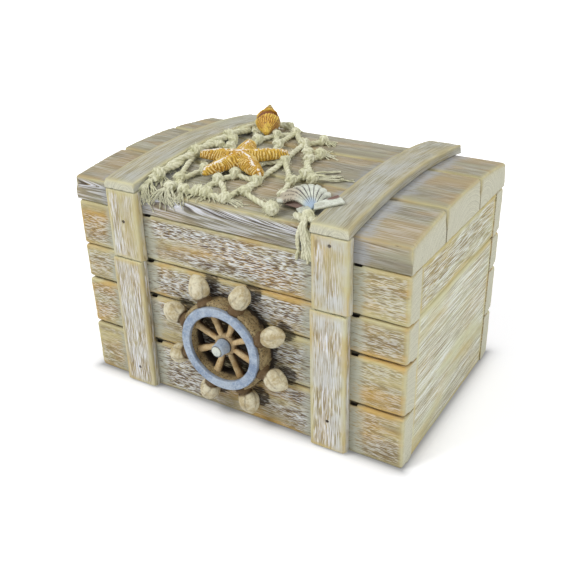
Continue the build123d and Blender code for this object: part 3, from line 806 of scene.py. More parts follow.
@dataclass
class Slat:
    """One sawn, worn piece of wood: a rounded bar with grooves along its grain."""

    node: str
    body: str
    slot: str
    finish: Material
    along: int
    side: Side
    worn: Triple
    seed: int = 0
    carve: Carve = Carve.NONE
    wash: Optional[Field] = None
    # The painted shadow that the wheel casts on the piece, if any.
    painted_shadow: Optional[Field] = None
    lean: float = 0.0
    holes: Sequence[Triple] = ()
    slots: Sequence[Pair] = ()
    inner_share: float = 0.15
    corner_power: float = 1.5
    step_along: float = 2.2 * MM
    step_across: float = 0.52 * MM
    hole_radius: float = 1.1 * MM
    hole_depth: float = 1.0 * MM
    slot_half_width: float = 2.7 * MM
    slot_half_height: float = 1.1 * MM
    rim_fade: float = 1.5 * MM
    warp_depth: float = 0.25 * MM
    end_zone: float = 5.2 * MM
    closest: float = 0.15 * MM

    def lines(self, length: float, step: float, low: float, fine: bool) -> Array:
        """Places of the grid lines along one edge.

        Args:
            length: The edge's length.
            step: The usual spacing.
            low: Where the edge starts in the frame.
            fine: Whether lines crowd together at the ends and round the holes.

        Returns:
            Distances from the edge's start.
        """
        if not fine:
            return np.linspace(0, length, max(2, round(length / step)) + 1)
        near = np.array([0.0, 0.3, 0.7, 1.2, 1.8, 2.6, 3.8]) * MM
        middle = np.linspace(self.end_zone, length - self.end_zone, max(2, round(length / step)))
        lines = np.concatenate([near, middle, length - near])
        for hole in self.holes:
            centre = hole[self.along] - low
            lines = np.concatenate([lines, centre + np.linspace(-1.6, 1.6, 9) * MM])
        for slot in self.slots:
            lines = np.concatenate([lines, slot[0] - low + np.linspace(-4.0, 4.0, 11) * MM])
        lines = np.sort(lines)
        return lines[np.concatenate([[True], np.diff(lines) > self.closest])]

    def grid(self, low: Array, size: Array) -> Tuple[Array, Faces]:
        """The bar's corners and faces before it is worn.

        Args:
            low: The bar's lowest corner.
            size: Its size.

        Returns:
            The corners, one row each, and the faces.
        """
        a_axis = (self.along + 1) % 3
        b_axis = (self.along + 2) % 3
        u = self.lines(size[self.along], self.step_along, low[self.along], True)
        a = self.lines(size[a_axis], self.step_across, 0, False)
        b = self.lines(size[b_axis], self.step_across, 0, False)
        na, nb = len(a) - 1, len(b) - 1
        ring = [(i, 0) for i in range(na)] + [(na, j) for j in range(nb)]
        ring += [(na - i, nb) for i in range(na)] + [(0, nb - j) for j in range(nb)]
        points = []
        for station in u:
            points += [(station, a[i], b[j]) for i, j in ring]
        count = len(ring)
        faces = []
        for row in range(len(u) - 1):
            for k in range(count):
                here, there = row * count + k, row * count + (k + 1) % count
                faces.append((here, there, there + count, here + count))
        for row, station in ((0, u[0]), (len(u) - 1, u[-1])):
            index = {place: row * count + k for k, place in enumerate(ring)}
            for i in range(1, na):
                for j in range(1, nb):
                    index[(i, j)] = len(points)
                    points.append((station, a[i], b[j]))
            for i in range(na):
                for j in range(nb):
                    face = (index[(i, j)], index[(i + 1, j)], index[(i + 1, j + 1)], index[(i, j + 1)])
                    faces.append(face[::-1] if row == 0 else face)
        local = np.array(points)
        placed = np.empty_like(local)
        placed[:, self.along], placed[:, a_axis], placed[:, b_axis] = local[:, 0], local[:, 1], local[:, 2]
        return placed + low, faces

    def wear(self, points: Array, low: Array, size: Array) -> Tuple[Array, Marks]:
        """Round the bar's edges, groove its faces and note what the finish needs.

        Args:
            points: The bar's corners.
            low: Its lowest corner.
            size: Its size.

        Returns:
            The moved corners and the attributes by name.
        """
        half = size / 2
        centre = low + half
        q = points - centre
        order = [self.along, (self.along + 1) % 3, (self.along + 2) % 3]
        grain = points[:, order] + self.seed * np.array([0.37, 0.21, 0.13])
        outward = q[:, self.side.axis] * self.side.sign / half[self.side.axis]
        share = self.inner_share + (1 - self.inner_share) * ease(outward, -0.3, 0.5)
        uneven = 0.65 + 0.7 * layered_noise(points * 70, self.seed + 5, 2)
        radius = np.array(self.worn) * (share * uneven)[:, None]
        inner = np.clip(q, radius - half, half - radius)
        reach = (q - inner) / radius
        power = self.corner_power
        norm = np.maximum((np.abs(reach) ** power).sum(1) ** (1 / power), 1e-9)
        normal = np.sign(reach) * np.abs(reach) ** (power - 1) / radius
        normal /= np.maximum(np.linalg.norm(normal, axis=1), 1e-9)[:, None]
        moved = inner + radius * reach / norm[:, None]
        fine = lattice_noise(grain * np.array([80, 820, 820]), self.seed + 1)
        broad = lattice_noise(grain * np.array([28, 330, 330]), self.seed + 2)
        groove = ease(fine * 0.55 + broad * 0.45, 0.50, 0.74)
        warp = layered_noise(grain * np.array([16, 60, 60]), self.seed + 3, 2) - 0.5
        gaps = np.sort(half - np.abs(q), axis=1)
        rim = np.exp(-gaps[:, 1] / self.rim_fade) * np.clip(share, 0, 1)
        depth = SIZES.groove * groove + self.warp_depth * (warp + 0.5) * share
        sunk = np.zeros(len(points))
        for hole in self.holes:
            away = np.linalg.norm(points - np.array(hole), axis=1)
            sunk = np.maximum(sunk, ease(-away, -self.hole_radius, -self.hole_radius * 0.45))
        for x, z in self.slots:
            across, up = (points[:, 0] - x) / self.slot_half_width, (points[:, 2] - z) / self.slot_half_height
            away = np.hypot(across, up)
            sunk = np.maximum(sunk, ease(-away, -1.0, -0.7) * ease(outward, 0.3, 0.6))
        depth = depth + sunk * self.hole_depth
        moved = centre + moved - normal * depth[:, None]
        bold = self.boldness(points, normal) * (0.3 + 0.7 * ease(outward, -0.2, 0.5))
        grain[:, 2] += self.lean * bold * points[:, 0]
        piths = ((0.4, -0.7, -1.6), (-0.5, 0.9, -1.9), (0.8, 0.3, -2.4))
        pith = centre + half * np.array(piths[self.seed % 3])
        washed, grimy = np.zeros((2, len(points)))
        if self.wash is not None:
            washed = np.clip(self.wash(points), 0, 1)
        if self.painted_shadow is not None:
            # The wheel's painted shadow, on the outer face only.
            grimy = self.painted_shadow(points) * ease(outward, 0.3, 0.8)
        marks = {
            "grain": grain,
            "edge": rim,
            "groove": groove,
            "cap": np.abs(normal[:, self.along]) ** 2,
            "wash": washed,
            # Brad holes and slots, which take painted shade.
            "hole": sunk,
            "grimy": grimy,
            "ring": np.linalg.norm((points - pith)[:, order[1:]], axis=1),
            "bold": bold,
        }
        return moved, marks

    def boldness(self, points: Array, normal: Array) -> Array:
        """How strongly the paint stands out: on planks' front faces, and less beside the outer straps.

        Args:
            points: The bar's corners.
            normal: The bar's normals there.

        Returns:
            A share from 0 to 1 for each corner.
        """
        left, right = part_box("base_strap_left")[0].x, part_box("base_strap_right")[1].x
        calm_right = 1 - ease(points[:, 0], right - 4 * MM, right) * 0.8
        calm_left = 1 - ease(-points[:, 0], -left - 4 * MM, -left) * 0.7
        if self.carve is Carve.PLANK:
            return ease(-normal[:, 1], 0.35, 0.9) * calm_right
        if self.side is Side.FRONT and self.along == 0:
            return calm_right * calm_left
        return np.ones(len(points))

    def arched(self, points: Array, low: Array, height: float) -> Array:
        """Carry the bar's corners onto the lid's arch.

        Args:
            points: The corners, which are moved in place.
            low: The bar's lowest corner.
            height: The bar's height.

        Returns:
            The corners.
        """
        rise = points[:, 2] - low[2]
        y = points[:, 1]
        if self.carve is Carve.PLANK:
            points[:, 2] = low[2] + rise / height * (SIZES.arch(y) - low[2])
        if self.carve is Carve.STRAP:
            points[:, 2] = SIZES.arch(y, SIZES.strap_fit + rise)
        return points

    def build(self) -> Piece:
        """Make the piece in its node's place.

        Returns:
            The finished piece.
        """
        lowest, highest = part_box(self.node)
        low, high = np.array(lowest), np.array(highest)
        if self.carve is Carve.PLANK:
            high[2] = float(SIZES.arch((low[1] + high[1]) / 2))
        if self.carve is Carve.STRAP:
            high[2] = low[2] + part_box("lid_front_strap_left")[1].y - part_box("lid_front_strap_left")[0].y
        size = high - low
        points, faces = self.grid(low, size)
        moved, marks = self.wear(points, low, size)
        moved = self.arched(moved, low, size[2])
        piece = make_object(f"{self.node}_worn", moved, faces, marks)
        settle(piece, self.body, [self.node], self.finish)
        return piece


@dataclass
class Woodwork:
    """Every board, plank, panel and strap of the chest."""

    wash_reach: float = 4.5 * MM
    slot_reach: float = 1.5 * MM
    floor_step: float = 1.0 * MM

    def finishes(self) -> Dict[str, Material]:
        """The wood's materials.

        Returns:
            The materials, by what they cover.
        """
        front = WoodFinish(
            "painted_front_wood", tint(199, 186, 134), tint(163, 146, 102), tint(203, 164, 84),
            tint(223, 227, 228), tint(95, 76, 64), dash_length=3.9 * MM, dash_width=0.42 * MM,
            paint_cover=0.9, stain_cover=0.92, ochre_cover=0.8, calm=0.6,
        )
        end = WoodFinish(
            "streaked_end_wood", tint(211, 211, 174), tint(193, 186, 146), tint(207, 188, 128),
            tint(233, 236, 228), tint(147, 136, 118), dash_length=24 * MM, dash_width=0.44 * MM,
            paint_cover=0.88, stain_cover=0.62, stray=0.5 * MM, calm=0.5,
        )
        lid_end = WoodFinish(
            "dashed_lid_end_wood", tint(203, 200, 154), tint(179, 168, 124), tint(203, 180, 110),
            tint(229, 233, 226), tint(131, 116, 92), dash_length=11 * MM, dash_width=0.44 * MM,
            paint_cover=0.88, stain_cover=0.66, stray=0.7 * MM, calm=0.5,
        )
        top = WoodFinish(
            "weathered_top_wood", tint(164, 160, 136), tint(140, 134, 113), tint(176, 151, 107),
            tint(214, 214, 217), tint(84, 71, 62), dash_length=9 * MM, dash_width=0.5 * MM,
            paint_cover=0.92, stain_cover=0.88, ochre_cover=0.55, wash=tint(164, 166, 168), calm=0.8,
            rim=tint(204, 194, 144),
        )
        front_top = replace(
            top, name="leaning_front_wood", dash_length=20 * MM, dash_width=0.66 * MM, stain=tint(60, 49, 46),
            paint=tint(228, 230, 238), stray=0.6 * MM,
        )
        strap = WoodFinish(
            "sanded_strap_wood", tint(207, 199, 152), tint(188, 174, 126), tint(203, 178, 112),
            tint(232, 233, 235), tint(134, 116, 96), dash_length=8 * MM, dash_width=0.4 * MM,
            paint_cover=0.9, stain_cover=0.64, wash=tint(206, 208, 204), stray=0.8 * MM,
        )
        cap = WoodFinish(
            "worn_cap_wood", tint(176, 174, 151), tint(156, 152, 129), tint(184, 170, 127),
            tint(194, 196, 192), tint(122, 114, 97), dash_length=16 * MM, dash_width=0.5 * MM,
            paint_cover=0.45, stain_cover=0.42, ochre_cover=0.5, wash=tint(186, 188, 186),
        )
        bare = WoodFinish(
            "bare_floor_wood", tint(206, 184, 136), tint(190, 164, 116), tint(206, 178, 120),
            tint(214, 198, 158), tint(160, 130, 94), dash_length=30 * MM, paint_cover=0.3, stain_cover=0.35,
        )
        made = {
            "front": front, "end": end, "lid_end": lid_end, "top": top,
            "front_top": front_top, "strap": strap, "cap": cap, "bare": bare,
        }
        return {name: finish.build() for name, finish in made.items()}

    def slots_beside(self, left: str, right: str, heights: Sequence[float]) -> List[Pair]:
        """Slots sunk where the gaps between boards meet the straps' right sides, painted near black as the
        shade inside them.

        Args:
            left: The left strap's node.
            right: The right strap's node.
            heights: The gaps' heights.

        Returns:
            The slots' places along the front and in height.
        """
        return [(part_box(name)[1].x + self.slot_reach, z) for name in (left, right) for z in heights]

    def beside_straps(self, node_left: str, node_right: str) -> Field:
        """How much grey wash lies beside a pair of straps.

        Args:
            node_left: The left strap's node.
            node_right: The right strap's node.

        Returns:
            A function from places to the wash's strength.
        """
        spans = [(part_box(node)[0].x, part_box(node)[1].x) for node in (node_left, node_right)]

        def wash(points: Array) -> Array:
            """The wash at each place.

            Args:
                points: Places on the piece, one row each.

            Returns:
                The wash's strength from 0 to 1.
            """
            total = np.zeros(len(points))
            for start, end in spans:
                away = np.maximum(start - points[:, 0], points[:, 0] - end)
                ragged = self.wash_reach * (0.5 + layered_noise(points * 150, 41, 2))
                total = np.maximum(total, ease(-away, -2.0 * ragged, -0.8 * ragged))
            return total

        return wash

    def shadow_round_the_wheel(self, points: Array) -> Array:
        """Painted shadow round the wheel, cast by its rim and handles and deepest low on its right, with
        painted shade on the boards seen inside the rim.

        Args:
            points: Places on the front boards.

        Returns:
            The painted shadow's strength at each place.
        """
        wheel = Wheel()
        x, z = points[:, 0] - wheel.centre.x, points[:, 2] - wheel.centre.z
        away = np.hypot(x, z)
        right = 0.5 + 0.5 * np.cos(np.arctan2(z, x) + 0.2)
        reach = (0.8 + 3.4 * right) * MM
        painted_shadow = ease(-away, -wheel.rim_outer - reach, -wheel.rim_outer) * (0.5 + 0.5 * right)
        knob = wheel.knob_start + wheel.knob_length * 0.45
        # Each handle's painted shadow falls a little right of it and below it.
        for index in range(wheel.count):
            angle = math.radians(wheel.turn) + TURN * index / wheel.count
            dx = x - math.cos(angle) * knob - 2.4 * MM
            dz = z - math.sin(angle) * knob + 0.4 * MM
            painted_shadow = np.maximum(painted_shadow, ease(-np.hypot(dx, dz), -7.4 * MM, -4.6 * MM) * 0.85)
        # Painted shade on the boards seen inside the rim, behind the spokes.
        inside = ease(-away, -wheel.rim_inner, -wheel.rim_inner + 3 * MM)
        return np.clip(np.maximum(painted_shadow, 0.9 * inside), 0, 1)

    def wash_all_over(self, strength: float, scale: float) -> Field:
        """Patches of wash over a whole piece."""
        return lambda points: strength * ease(layered_noise(points * scale, 57, 3), 0.42, 0.62)

    def slats(self) -> List[Slat]:
        """Every piece of wood, with the way that it is laid.

        Returns:
            The slats, each with a seed of its own.
        """
        finish = self.finishes()
        worn, thin = (SIZES.edge_worn,) * 3, (SIZES.strap_worn,) * 3
        flush = (SIZES.end_worn, 0.1 * MM, SIZES.end_worn)
        beside_base = self.beside_straps("base_strap_left", "base_strap_right")
        beside_lid = self.beside_straps("lid_front_strap_left", "lid_front_strap_right")
        boards = [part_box(f"base_front_board_{level}") for level in ("bottom", "middle", "top")]
        gaps = [(lower[1].z + upper[0].z) / 2 for lower, upper in zip(boards, boards[1:])]
        seams = [corner.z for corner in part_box("lid_front_board")]
        base_slots = self.slots_beside("base_strap_left", "base_strap_right", gaps + seams[:1])
        lid_slots = self.slots_beside("lid_front_strap_left", "lid_front_strap_right", seams)
        made = []
        for level in ("bottom", "middle", "top"):
            made.append(Slat(
                f"base_front_board_{level}", "base", "board_wood", finish["front"], 0, Side.FRONT, worn,
                wash=beside_base, slots=base_slots, painted_shadow=self.shadow_round_the_wheel,
            ))
            made.append(Slat(
                f"base_back_board_{level}", "base", "board_wood", finish["front"], 0, Side.BACK, worn,
            ))
        made.append(Slat(
            "lid_front_board", "lid", "board_wood", finish["front"], 0, Side.FRONT, worn,
            wash=beside_lid, slots=lid_slots,
        ))
        made.append(Slat("lid_back_board", "lid", "board_wood", finish["front"], 0, Side.BACK, worn))
        for side in (Side.LEFT, Side.RIGHT):
            end = side.name.lower()
            made.append(Slat(f"base_end_panel_{end}", "base", "board_wood", finish["end"], 1, side, flush))
            made.append(Slat(f"lid_end_board_{end}", "lid", "board_wood", finish["lid_end"], 1, side, flush))
        for level, look, lean in (("front", "front_top", 0.22), ("middle", "top", 0.0), ("rear", "top", 0.0)):
            made.append(Slat(
                f"lid_top_plank_{level}", "lid", "plank_wood", finish[look], 0, Side.TOP, worn,
                carve=Carve.PLANK, wash=beside_lid, lean=lean,
            ))
        for name, base_wash, lid_wash in (("left", 0.35, 0.6), ("right", 0.75, 0.85)):
            low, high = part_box(f"lid_front_strap_{name}")
            brads = self.brad_places((low.x + high.x) / 2)
            made.append(Slat(
                f"base_strap_{name}", "base", "strap_wood", finish["strap"], 2, Side.FRONT, thin,
                holes=brads, wash=self.wash_all_over(base_wash, 90),
            ))
            made.append(Slat(
                f"lid_front_strap_{name}", "lid", "strap_wood", finish["strap"], 2, Side.FRONT, thin,
                holes=brads, wash=self.wash_all_over(lid_wash, 80),
            ))
            made.append(Slat(
                f"lid_top_strap_{name}", "lid", "strap_wood", finish["cap"], 1, Side.TOP, thin,
                carve=Carve.STRAP, wash=self.wash_all_over(0.5, 60),
            ))
        made.append(Slat(
            "base_floor_panel", "base", "floor_wood", finish["bare"], 0, Side.TOP, (0.5 * MM,) * 3,
            step_across=self.floor_step,
        ))
        for index, slat in enumerate(made):
            slat.seed = index + 1
        return made

    def brad_places(self, x: float) -> List[Triple]:
        """Places of the brads on the front straps near an x, on the straps' faces.

        Args:
            x: The strap's middle along the front.

        Returns:
            The places, one triple each.
        """
        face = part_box("lid_front_strap_left")[0].y
        found = []
        for node in ("base_strap_brads", "lid_strap_brads"):
            points = np.array([vertex.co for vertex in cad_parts[node].data.vertices])
            near = points[(abs(points[:, 0] - x) < 5 * MM) & (points[:, 1] < face + 1.0 * MM)]
            if len(near):
                centre = (near.min(0) + near.max(0)) / 2
                found.append((centre[0], face, centre[2]))
        return found

    def build(self) -> None:
        """Make every piece of wood."""
        for slat in self.slats():
            slat.build()


def turned(profile: Sequence[Pair], segments: int, closed: bool) -> Tuple[Array, Faces]:
    """Turn a profile about Z.

    Args:
        profile: Pairs of radius and height, anticlockwise seen with the radius to the right.
        segments: How many steps go round.
        closed: Whether the profile is a loop; otherwise its two ends lie on the axis.

    Returns:
        The corners and the faces.
    """
    inside = profile if closed else profile[1:-1]
    points = []
    for radius, height in inside:
        for k in range(segments):
            angle = TURN * k / segments
            points.append((radius * math.cos(angle), radius * math.sin(angle), height))
    faces: Faces = []
    rows = len(inside)
    for row in range(rows if closed else rows - 1):
        here, above = row * segments, (row + 1) % rows * segments
        for k in range(segments):
            nxt = (k + 1) % segments
            faces.append((here + k, here + nxt, above + nxt, above + k))
    if not closed:
        points.append((0.0, 0.0, profile[0][1]))
        points.append((0.0, 0.0, profile[-1][1]))
        low, high, last = len(points) - 2, len(points) - 1, (rows - 1) * segments
        for k in range(segments):
            nxt = (k + 1) % segments
            faces.append((low, nxt, k))
            faces.append((last + k, last + nxt, high))
    return np.array(points), faces


def tube_faces(rows: int, around: int, base: int = 0) -> Faces:
    """The faces of a tube through rings of corners, with a cap at each end.

    Args:
        rows: How many rings there are.
        around: How many corners a ring has.
        base: The first corner's number.

    Returns:
        The faces.
    """
    ring = [base + k for k in range(around)]
    faces: Faces = []
    for row in range(rows - 1):
        for first, second in zip(ring, ring[1:] + ring[:1]):
            a, b = first + row * around, second + row * around
            faces.append((a, b, b + around, a + around))
    return faces + [tuple(ring[::-1]), tuple(corner + (rows - 1) * around for corner in ring)]


def rounded_loop(corners: Sequence[Pair], rounding: float, step: float) -> List[Pair]:
    """A closed outline through corners, each cut by a small arc and its sides divided.

    Args:
        corners: The corners, anticlockwise.
        rounding: How far from each corner its arc starts.
        step: The longest stretch without a point.

    Returns:
        The outline's points.
    """
    made: List[Pair] = []
    count = len(corners)
    for index, corner in enumerate(corners):
        here = np.array(corner)
        before, after = np.array(corners[index - 1]), np.array(corners[(index + 1) % count])
        start = here + (before - here) / np.linalg.norm(before - here) * rounding
        end = here + (after - here) / np.linalg.norm(after - here) * rounding
        for share in (0.0, 0.25, 0.5, 0.75, 1.0):
            bent = (1 - share) ** 2 * start + 2 * share * (1 - share) * here + share ** 2 * end
            made.append((float(bent[0]), float(bent[1])))
        to_next = after + (here - after) / np.linalg.norm(here - after) * rounding
        pieces = max(1, int(np.linalg.norm(to_next - end) / step))
        for k in range(1, pieces):
            between = end + (to_next - end) * k / pieces
            made.append((float(between[0]), float(between[1])))
    return made


@dataclass
class Wheel:
    """The ship's wheel: a cast rim with a painted face ring, spokes, hub, button and eight handles."""

    rise: float = 6.65 * MM
    turn: float = 24.5
    count: int = 8
    rim_outer: float = 26.2 * MM
    rim_inner: float = 19.2 * MM
    rim_thick: float = 10.5 * MM
    ring_outer: float = 24.1 * MM
    ring_inner: float = 18.8 * MM
    ring_thick: float = 2.0 * MM
    spoke_back: float = 3.0 * MM
    spoke_thick: float = 4.2 * MM
    hub_width: float = 2.8 * MM
    spoke_width: float = 4.4 * MM
    seat_radius: float = 6.2 * MM
    hub_base: float = 4.4 * MM
    hub_nose: float = 3.5 * MM
    hub_length: float = 7.2 * MM
    button_radius: float = 3.1 * MM
    button_proud: float = 0.6 * MM
    handle_stand: float = 7.2 * MM
    knob_start: float = 27.7 * MM
    knob_length: float = 13.4 * MM
    knob_radius: float = 5.75 * MM
    rim_rounding: float = 1.6 * MM
    ring_rounding: float = 0.75 * MM
    rim_uneven: float = 0.22 * MM
    ring_uneven: float = 0.16 * MM
    hub_uneven: float = 0.2 * MM
    button_uneven: float = 0.1 * MM
    spoke_uneven: float = 0.7 * MM
    handle_uneven: float = 1.3 * MM
    rim_segments: int = 220
    ring_segments: int = 200
    hub_segments: int = 72
    disc_segments: int = 64
    handle_segments: int = 36

    @property
    def centre(self) -> Vector:
        """The wheel's middle on the front boards."""
        return Vector((0, -SIZES.half_depth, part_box("base_front_board_top")[1].z / 2 + self.rise))

    def finishes(self) -> Dict[str, Material]:
        """The wheel's materials.

        Returns:
            The materials, by their colour or piece.
        """
        blue = ResinFinish(
            "chalky_blue_paint", tint(182, 195, 208), tint(134, 152, 178), tint(84, 74, 62),
            tint(208, 208, 198), bump=0.8,
        )
        tan = ResinFinish(
            "brown_washed_resin", tint(172, 154, 114), tint(136, 114, 76), tint(48, 38, 28),
            tint(104, 84, 54), grain=700.0, bump=1.0, cracks=0.8,
        )
        spoke = ResinFinish(
            "tan_spoke_resin", tint(218, 196, 152), tint(188, 154, 104), tint(84, 58, 38), tint(126, 94, 64),
            grain=800.0,
        )
        pale = ResinFinish(
            "pale_handle_resin", tint(224, 217, 190), tint(182, 164, 122), tint(100, 78, 50),
            tint(208, 200, 168), grain=520.0, streak=(1.0, 0.6, 1.0), bump=0.8,
        )
        button = ResinFinish(
            "pale_button_resin", tint(220, 224, 212), tint(184, 194, 190), tint(120, 116, 104),
            tint(218, 208, 180), grain=1500.0,
        )
        made = {"blue": blue, "tan": tan, "spoke": spoke, "pale": pale, "button": button}
        return {name: finish.build() for name, finish in made.items()}

    def on_front(self, points: Array) -> Array:
        """Carry points made about Z onto the front boards."""
        return np.stack([points[:, 0], -points[:, 2], points[:, 1]], axis=1) + np.array(self.centre)

    def cast(self, points: Array, faces: Faces, amount: float, grain: float, seed: int) -> Array:
        """Make a surface uneven along its normals, as a casting is.

        Args:
            points: The corners.
            faces: The faces.
            amount: The largest change.
            grain: How many bumps there are in a metre.
            seed: Which noise to use.

        Returns:
            The moved corners.
        """
        normals = np.zeros_like(points)
        corners = np.array([face[:3] for face in faces])
        a, b, c = (points[corners[:, column]] for column in range(3))
        normal = np.cross(b - a, c - a)
        for column in range(3):
            np.add.at(normals, corners[:, column], normal)
        normals /= np.maximum(np.linalg.norm(normals, axis=1), 1e-15)[:, None]
        uneven = layered_noise(points * grain, seed, 3) - 0.5
        return points + normals * (uneven * 2 * amount)[:, None]

    def build_rim(self, finish: Material) -> None:
        """The deep rim, with carved lines across its outer side and a rope-like edge.

        Args:
            finish: Its material.
        """
        inner, outer = self.rim_inner, self.rim_outer
        outline = [(inner, 0.0), (outer, 0.0), (outer, self.rim_thick), (inner, self.rim_thick)]
        profile = rounded_loop(outline, self.rim_rounding, 0.55 * MM)
        points, faces = turned(profile, self.rim_segments, True)
        radius = np.linalg.norm(points[:, :2], axis=1)
        angle = np.arctan2(points[:, 1], points[:, 0])
        outside = ease(radius, outer - 1.5 * MM, outer)
        wrapped = np.stack([np.cos(angle) * 26, np.sin(angle) * 26, points[:, 2] * 160], axis=1)
        carved = layered_noise(wrapped, 71, 3)
        lines = np.abs(np.sin(angle * 46 + carved * 5))
        cut = outside * (0.06 * MM * (1 - lines) + 0.9 * MM * (layered_noise(points * 520, 72, 3) - 0.4))
        inner_cut = (1 - ease(radius, inner, inner + 1.2 * MM)) * 0.5 * MM * (carved - 0.5)
        shrink = 1 - (np.maximum(cut, 0) - inner_cut) / np.maximum(radius, 1e-6)
        points[:, :2] *= shrink[:, None]
        pits = ease(layered_noise(points * 620, 74, 3), 0.36, 0.70)
        # Dark pits mottle the outer side; painted shade darkens the rim towards the boards and on its inner
        # side towards the back.
        deep = np.clip(outside * pits * 0.42 + ease(-points[:, 2], -5 * MM, -0.5 * MM) * 0.85, 0, 1)
        inside = 1 - ease(radius, inner, inner + 0.8 * MM)
        deep = np.maximum(deep, inside * ease(-points[:, 2], -9 * MM, -2 * MM))
        points = self.cast(points, faces, self.rim_uneven, 420, 73)
        piece = make_object("wheel_rim_cast", self.on_front(points), faces, {"deep": deep})
        settle(piece, "base", ["wheel_rim"], finish)

    def build_ring(self, finish: Material) -> None:
        """The flat face ring, with worn edges and painted shade where it meets the rim.

        Args:
            finish: Its material.
        """
        low, high = self.rim_thick - 0.3 * MM, self.rim_thick + self.ring_thick
        outline = [
            (self.ring_inner, low), (self.ring_outer, low), (self.ring_outer, high), (self.ring_inner, high),
        ]
        points, faces = turned(rounded_loop(outline, self.ring_rounding, 0.45 * MM), self.ring_segments, True)
        # Painted shade at the ring's foot where it meets the rim; further down, its edges are darkened as
        # wear.
        deep = ease(-points[:, 2], -low - 0.9 * MM, -low)
        middle, half = (self.ring_outer + self.ring_inner) / 2, (self.ring_outer - self.ring_inner) / 2
        off_middle = np.abs(np.linalg.norm(points[:, :2], axis=1) - middle)
        deep = np.maximum(deep, 0.5 * ease(off_middle, half - 0.9 * MM, half - 0.1 * MM))
        points = self.cast(points, faces, self.ring_uneven, 260, 81)
        piece = make_object("wheel_face_ring_painted", self.on_front(points), faces, {"deep": deep})
        settle(piece, "base", ["wheel_face_ring"], finish)

    def ring_values(self, uneven: float, scale: float, finish: Material) -> Dict[str, Any]:
        """The inputs that set copies round the wheel.

        Args:
            uneven: How far the copies' surface moves in and out.
            scale: How many bumps there are in a metre.
            finish: The copies' material.

        Returns:
            The values, by the inputs' names.
        """
        return {
            "Count": self.count, "First Angle": math.radians(self.turn), "Centre": self.centre,
            "Unevenness": uneven, "Noise Scale": scale, "Material": finish,
        }

    def build_spokes(self, tree: GeometryTree, finish: Material) -> None:
        """The spokes and the disc under the hub.

        Args:
            tree: The group that sets copies round the wheel.
            finish: Their material.
        """
        rows, across = 26, 14
        start, end = self.seat_radius * 0.5, self.rim_inner + 0.4 * MM
        points, deep = [], []
        for row in range(rows):
            share = row / (rows - 1)
            reach = start + (end - start) * share
            half = (self.hub_width + (self.spoke_width - self.hub_width) * share ** 1.5) / 2
            for k in range(across):
                angle = TURN * k / across
                side = math.copysign(abs(math.cos(angle)) ** 0.7, math.cos(angle))
                up = math.copysign(abs(math.sin(angle)) ** 0.8, math.sin(angle))
                height = self.spoke_back + self.spoke_thick * (0.5 + 0.5 * up)
                points.append((reach, half * side, height))
                # Painted shade on each spoke's back half, which faces the boards.
                deep.append(0.75 - 0.75 * max(0.0, up))
        spoke = make_object(
            "spoke_model", np.array(points), tube_faces(rows, across), {"deep": np.array(deep)},
        )
        piece = tree.apply(spoke, "wheel_spokes_cast", self.ring_values(self.spoke_uneven, 330.0, finish))
        top = self.spoke_back + self.spoke_thick
        disc = [(0.0, self.spoke_back), (self.seat_radius, self.spoke_back)]
        disc += [
            (self.seat_radius, top - 0.5 * MM), (self.seat_radius - 0.5 * MM, top), (self.hub_base, top),
            (0.0, top),
        ]
        points, faces = turned(disc, self.disc_segments, False)
        # The disc under the hub is half in painted shade.
        plate = make_object(
            "wheel_spoke_disc", self.on_front(points), faces, {"deep": np.full(len(points), 0.5)},
        )
        settle(piece, "base", ["wheel_spokes"], finish)
        settle(plate, "base", [], finish)

    def build_hub(self, blue: Material, pale: Material) -> None:
        """The tapered hub and the pale button in its nose.

        Args:
            blue: The hub's material.
            pale: The button's material.
        """
        low = self.spoke_back + self.spoke_thick
        high = low + self.hub_length
        rows = 14
        profile = [(0.0, low - 0.4 * MM), (self.hub_base, low - 0.4 * MM)]
        for k in range(rows + 1):
            share = k / rows
            radius = self.hub_base + (self.hub_nose - self.hub_base) * share
            profile.append((radius, low + (self.hub_length - 0.5 * MM) * share))
        profile += [(self.hub_nose - 0.15 * MM, high - 0.15 * MM), (self.hub_nose - 0.5 * MM, high)]
        profile += [
            (self.button_radius + 0.1 * MM, high), (self.button_radius, high - 0.5 * MM),
            (0.0, high - 0.5 * MM),
        ]
        points, faces = turned(profile, self.hub_segments, False)
        socket = ease(
            -np.linalg.norm(points[:, :2], axis=1), -self.button_radius - 0.3 * MM, -self.button_radius,
        )
        # Painted shade at the hub's foot and in the socket under the button.
        deep = np.maximum(ease(-points[:, 2], -low - 2.0 * MM, -low), socket * 0.8)
        points = self.cast(points, faces, self.hub_uneven, 380, 91)
        piece = make_object("wheel_hub_painted", self.on_front(points), faces, {"deep": deep})
        settle(piece, "base", ["wheel_hub"], blue)
        bottom, top = high - 0.55 * MM, high + self.button_proud
        wide = self.button_radius - 0.1 * MM
        dome = [(0.0, bottom), (wide, bottom)]
        for k in range(9):
            angle = math.pi / 2 * k / 8
            rise = (top - bottom) * (0.35 + 0.65 * math.sin(angle))
            dome.append((wide * (0.55 + 0.45 * math.cos(angle)), bottom + rise))
        dome.append((0.0, top))
        points, faces = turned(dome, self.disc_segments, False)
        # Painted shade round the button's rim, where it sits in the hub.
        deep = ease(np.linalg.norm(points[:, :2], axis=1), self.button_radius - 0.9 * MM, wide) * 0.7
        points = self.cast(points, faces, self.button_uneven, 600, 95)
        piece = make_object("wheel_button_cast", self.on_front(points), faces, {"deep": deep})
        settle(piece, "base", ["wheel_button"], pale)

    def knob_radius_at(self, share: float) -> float:
        """The handle's radius along its egg, from its neck to its tip."""
        return self.knob_radius * math.sin(math.pi * min(1.0, 0.13 + 0.87 * share ** 0.92)) ** 0.62

